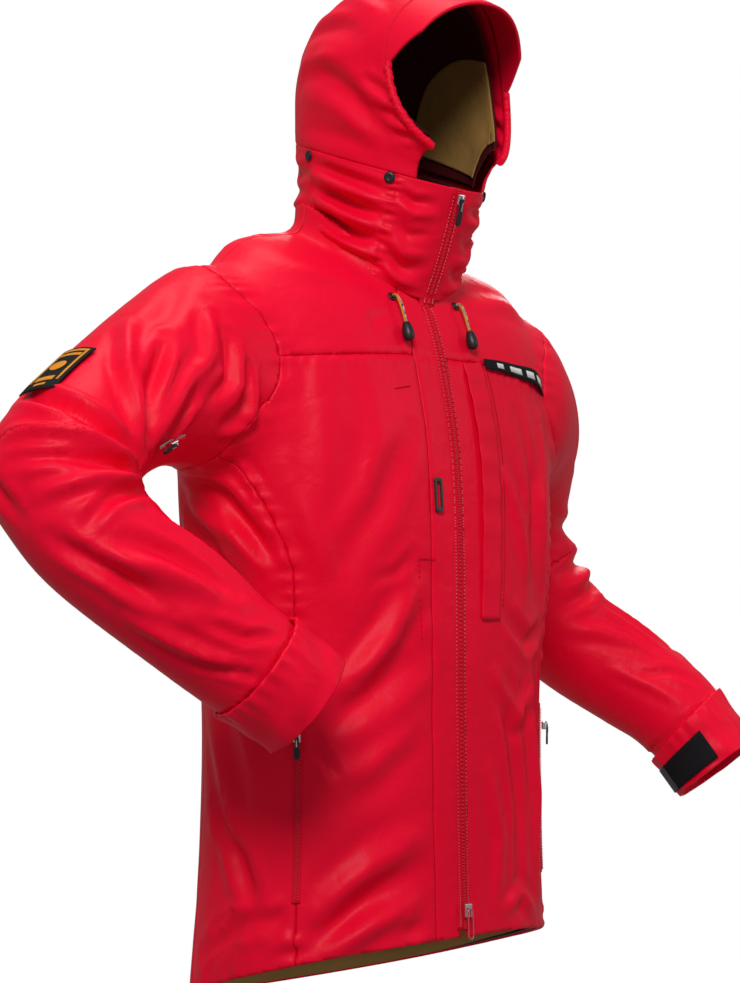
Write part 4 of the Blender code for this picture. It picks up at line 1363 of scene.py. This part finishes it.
def chest():
    m = place(torso, -5.0, 4.42, 0.0014, MID)
    loop = slot_plate("chest_loop_moulded", m, (0.0100, 0.0340, 0, -0.0150, 0.0030),
                      (0.0052, 0.0270, 0, -0.0150, 0.0018), 0.0024, 0.0, OLIVE)
    dress(loop, "chest_zip_loop", "chest_zip_loop")

    def gape(p, n, u, v):
        out = math.sin(math.pi * (v - FLAP_TOP) / 2.75) * 0.0022 * (FLAP_EDGE - u) / 7.0
        return p + n * (out + 0.0005 * math.sin(v * 17.0))
    flap = patch("chest_flap_cloth", torso, 6.2, FLAP_EDGE, FLAP_TOP, 5.55, 10, 90, RED, MID,
                 rise=0.0024, wall=0.0014, shape=gape)
    dress(flap, "chest_flap", "chest_pocket_flap")
    stitch = []
    for i in range(80):
        stitch.append(place(torso, 15.0, 2.9 + 2.55 * i / 79, 0.0008, MID))
    across = Matrix.Rotation(math.pi / 2, 4, 'Z')
    for i in range(9):
        stitch.append(place(torso, -10.4 - 0.55 * i, 3.32 + 0.009 * i, 0.0010, MID) @ across)
        stitch.append(place(torso, -6.4 - 0.55 * i, 5.15, 0.0010, MID) @ across)
    for i in range(14):
        stitch.append(place(torso, -11.2, 5.16 + 0.5 * i / 13, 0.0008, MID))
    sewing = bits("chest_stitches", stitch, (0.0006, 0.0030, 0.0006), SEWN)
    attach(sewing, "torso")

    def wave(p, n, u, v):
        return p + n * 0.0012 * math.sin((u - 14) * 0.28)
    label = patch("chest_label_woven", label_line, 14.2, 53, 2.73, 2.93, 60, 6, BADGE, MID,
                  rise=0.0034, wall=0.0009, shape=wave)
    dress(label, "torso", "chest_label")
    for i, (a, b) in enumerate(((19, 22), (26, 33), (36, 41), (44, 50))):
        bar = patch("label_bar_%d" % i, label_line, a, b, 2.79, 2.88, 10, 2, WHITE, MID,
                    rise=0.0039, wall=0.0003, shape=wave)
        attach(bar, "torso")


# ---- cuffs, badge, pit zip ----
def arm_surface(side):
    return (right_sleeve, RIGHT_ARM) if side == "right" else (left_sleeve, LEFT_ARM)


def cuffs():
    for side, start in (("right", 214), ("left", 202)):
        surface, rows = arm_surface(side)
        middle = arm_middle(rows, 9.6)

        def rumple(p, n, u, v):
            near = math.exp(-((v - 9.28) / 0.16) ** 2)
            soft = math.sin(math.radians(u * 7) + 9 * v) * math.sin(math.radians(u * 3) - 5 * v)
            return p + n * (0.0013 * soft + near * (0.0010 + 0.0008 * math.sin(math.radians(u * 23))))
        cuff = patch("cuff_cloth_" + side, surface, 0, 360, 9.24, 10.0, 140, 26, RED, middle,
                     rise=0.0016, wall=0.0032, shape=rumple)
        weld(cuff)
        dress(cuff, side + "_forearm", "cuff_" + side)
        tab = patch("cuff_tab_hook_" + side, surface, start, start + 70, *TAB_SPAN, 40, 8, HOOK,
                    middle, rise=0.0046, wall=0.0022)
        dress(tab, side + "_cuff_tab", "cuff_tab_" + side)
        tip = patch("cuff_tab_tip_" + side, surface, start + 68, start + 84, *TAB_SPAN, 14, 8,
                    GREY, middle, rise=0.0052, wall=0.0028)
        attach(tip, side + "_cuff_tab")


def weld(ob):
    """Joins the two ends of a patch that runs once round."""
    bm = bmesh.new()
    bm.from_mesh(ob.data)
    bmesh.ops.remove_doubles(bm, verts=bm.verts, dist=0.00002)
    bm.to_mesh(ob.data)
    bm.free()


def badge():
    middle = arm_middle(RIGHT_ARM, 4.1)
    base = patch("badge_base", right_sleeve, 14, 46, 3.72, 4.46, 24, 24, BADGE, middle,
                 rise=0.0030, wall=0.0012)
    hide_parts("arm_badge")
    marks = [base]
    for i, (u0, u1, v0, v1) in enumerate(((17, 43, 3.76, 3.80), (20, 40, 3.84, 3.89),
                                          (17, 19, 3.80, 4.34), (41, 43, 3.80, 4.34),
                                          (22, 38, 4.28, 4.34), (25, 35, 4.38, 4.41))):
        marks.append(patch("badge_mark_%d" % i, right_sleeve, u0, u1, v0, v1, 10, 4, AMBER, middle,
                           rise=0.0034, wall=0.0004))
    disc = turned("badge_disc", place(right_sleeve, 30, 4.09, 0.0031, middle),
                  [(0.0085, 0.0), (0.0085, 0.0005), (0.0060, 0.0007), (0.0010, 0.0008)], AMBER, 40)
    marks.append(disc)
    for ob in marks:
        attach(ob, "right_upper_sleeve")


def pit_zip():
    m = place(right_sleeve, PIT_SIDE, 3.55, 0.0030, arm_middle(RIGHT_ARM, 3.55))
    runner("pit_zip", m, "pit_zip_slider", "pit_zip_pull", 0.0072, 0.0100, 0.0062, 0.0200)
    middle = arm_middle(RIGHT_ARM, 3.0)
    teeth = [place(right_sleeve, PIT_SIDE, 3.22 + 0.6 * i / 69, 0.0016, middle) for i in range(70)]
    coil = zip_coil("pit_coil", teeth, 0.0006, (0.0030, 0.0010, 0.0012), SILVER)
    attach(coil, "right_upper_sleeve")


def cord_line(sign, aside):
    """The middle line of one strand of a collar cord, from its eyelet to its toggle."""
    across = from_middle(TORSO, SQUARE, 2, CORD_OUT, sign)
    keys = []
    for ring, rise, spread in ((EYELET_RING, 0.0030, 0.5), (0.62, 0.0068, 0.8), (0.75, 0.0080, 1.0),
                               (1.15, 0.0086, 1.35), (1.55, 0.0081, 1.0), (TOGGLE_RING, 0.0076, 0.55)):
        m = place(torso, across(ring), ring, rise, MID)
        keys.append(tuple(m @ Vector((aside * spread, 0, 0))))
    return [Vector(spline(keys, i / 4)) for i in range((len(keys) - 1) * 4 + 1)]


def collar_cords():
    for side, sign in SIDES:
        across = from_middle(TORSO, SQUARE, 2, CORD_OUT, sign)
        centre = cord_line(sign, 0.0)
        d = (centre[-1] - centre[-5]).normalized()
        out = normal_of(torso, across(TOGGLE_RING), TOGGLE_RING, MID)
        side_axis = d.cross(out).normalized()
        frame = Matrix((side_axis, -d.cross(side_axis), d)).transposed().to_4x4()
        frame.translation = centre[-1] + d * 0.0006
        toggle = turned("toggle_moulded_" + side, frame,
                        [(0.0026, 0), (0.0036, 0.0004), (0.0044, 0.0024), (0.0056, 0.0070),
                         (0.0060, 0.0120), (0.0056, 0.0158), (0.0044, 0.0186), (0.0020, 0.0200)],
                        BLACK, 48)
        dress(toggle, side + "_cord_end", "toggle_" + side)
        for strand, aside, mat in (("amber", -0.0013, ORANGE), ("check", 0.0013, CHECK)):
            line = cord_line(sign, aside)
            cord = rope("collar_cord_" + strand + "_" + side, line, 0.0011, mat)
            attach(cord, side + "_cord_end")
            if strand == "amber":
                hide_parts("drawcord_" + side)
        m = place(torso, across(EYELET_RING), EYELET_RING, 0.0006, MID)
        eyelet = turned("eyelet_" + side, m, [(0.0035, 0), (0.0050, 0.0005), (0.0050, 0.0014),
                                              (0.0040, 0.0021), (0.0026, 0.0019),
                                              (0.0022, 0.0008)], BLACK, 44)
        dress(eyelet, "torso", "cord_eyelet_" + side)


# ---- inside ----
def inside():
    # the body lining uses the gold darkened as painted shade for the inside of the body
    lining = patch("body_lining_mesh", torso, 6, 354, 0.25, 7.925, 120, 70, GOLD_AND_SHADE, MID, rise=-0.0175)
    dress(lining, "torso", "body_lining")
    facing = patch("hem_facing", torso, 3, 357, 7.92, 7.99, 120, 4, RED, MID, rise=-0.0045)
    dress(facing, "torso")
    line = []
    for i in range(121):
        line.append(place(torso, 14 + 332 * i / 120, 7.94, -0.0078, MID).translation)
    cord = rope("hem_cord_round", line, 0.0014, BLACK)
    dress(cord, "torso", "hem_drawcord")
    for side, deg in (("right", -34), ("left", 34)):
        m = place(torso, deg, 7.80, -0.0225, MID)
        lock = block("hem_lock_" + side, m, (0.016, 0.018, 0.010), (0, 0, 0), BLACK, 0.0028)
        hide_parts("hem_cord_lock_" + side)
        button = turned("hem_lock_button_" + side, shifted(m, 0, 0, 0.0046),
                        [(0.0050, 0), (0.0052, 0.0006), (0.0050, 0.0014), (0.0036, 0.0019)], BLACK,
                        40)
        for ob in (lock, button):
            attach(ob, "torso")
    points = []
    for i in range(25):
        a = math.pi * i / 24
        points.append(torso(180, 0.1) + Vector((-0.030 * math.cos(a), -0.0125 - 0.004 * math.sin(a),
                                                -0.012 - 0.018 * math.sin(a))))
    bm = bmesh.new()
    rows = [[bm.verts.new(p + Vector((0, y, 0))) for y in (-0.003, -0.001, 0.001, 0.003)]
            for p in points]
    strip(bm, rows)
    hanger = thicken(add("hanger_loop_tape", bm, BADGE), 0.0014, 0.0)
    dress(hanger, "torso", "hanger_loop")


def sewn_cloth():
    for name, ob in body_cloth().items():
        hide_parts(name)
        if name.startswith("upper_sleeve"):
            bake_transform(ob)
        elif name.startswith("forearm"):
            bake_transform(ob)
        else:
            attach(ob, "torso")


camera()
collar_cords()
light()
sewn_cloth()
hood_cloth()
front_zip()
runner("main_zip_top", front_frame(0.95, 0.0034), "main_zip_top_slider", "main_zip_top_pull",
       0.0084, 0.0110, 0.0066, 0.0280)
wire_loop()
pocket_zips()
chest()
cuffs()
badge()
pit_zip()
inside()
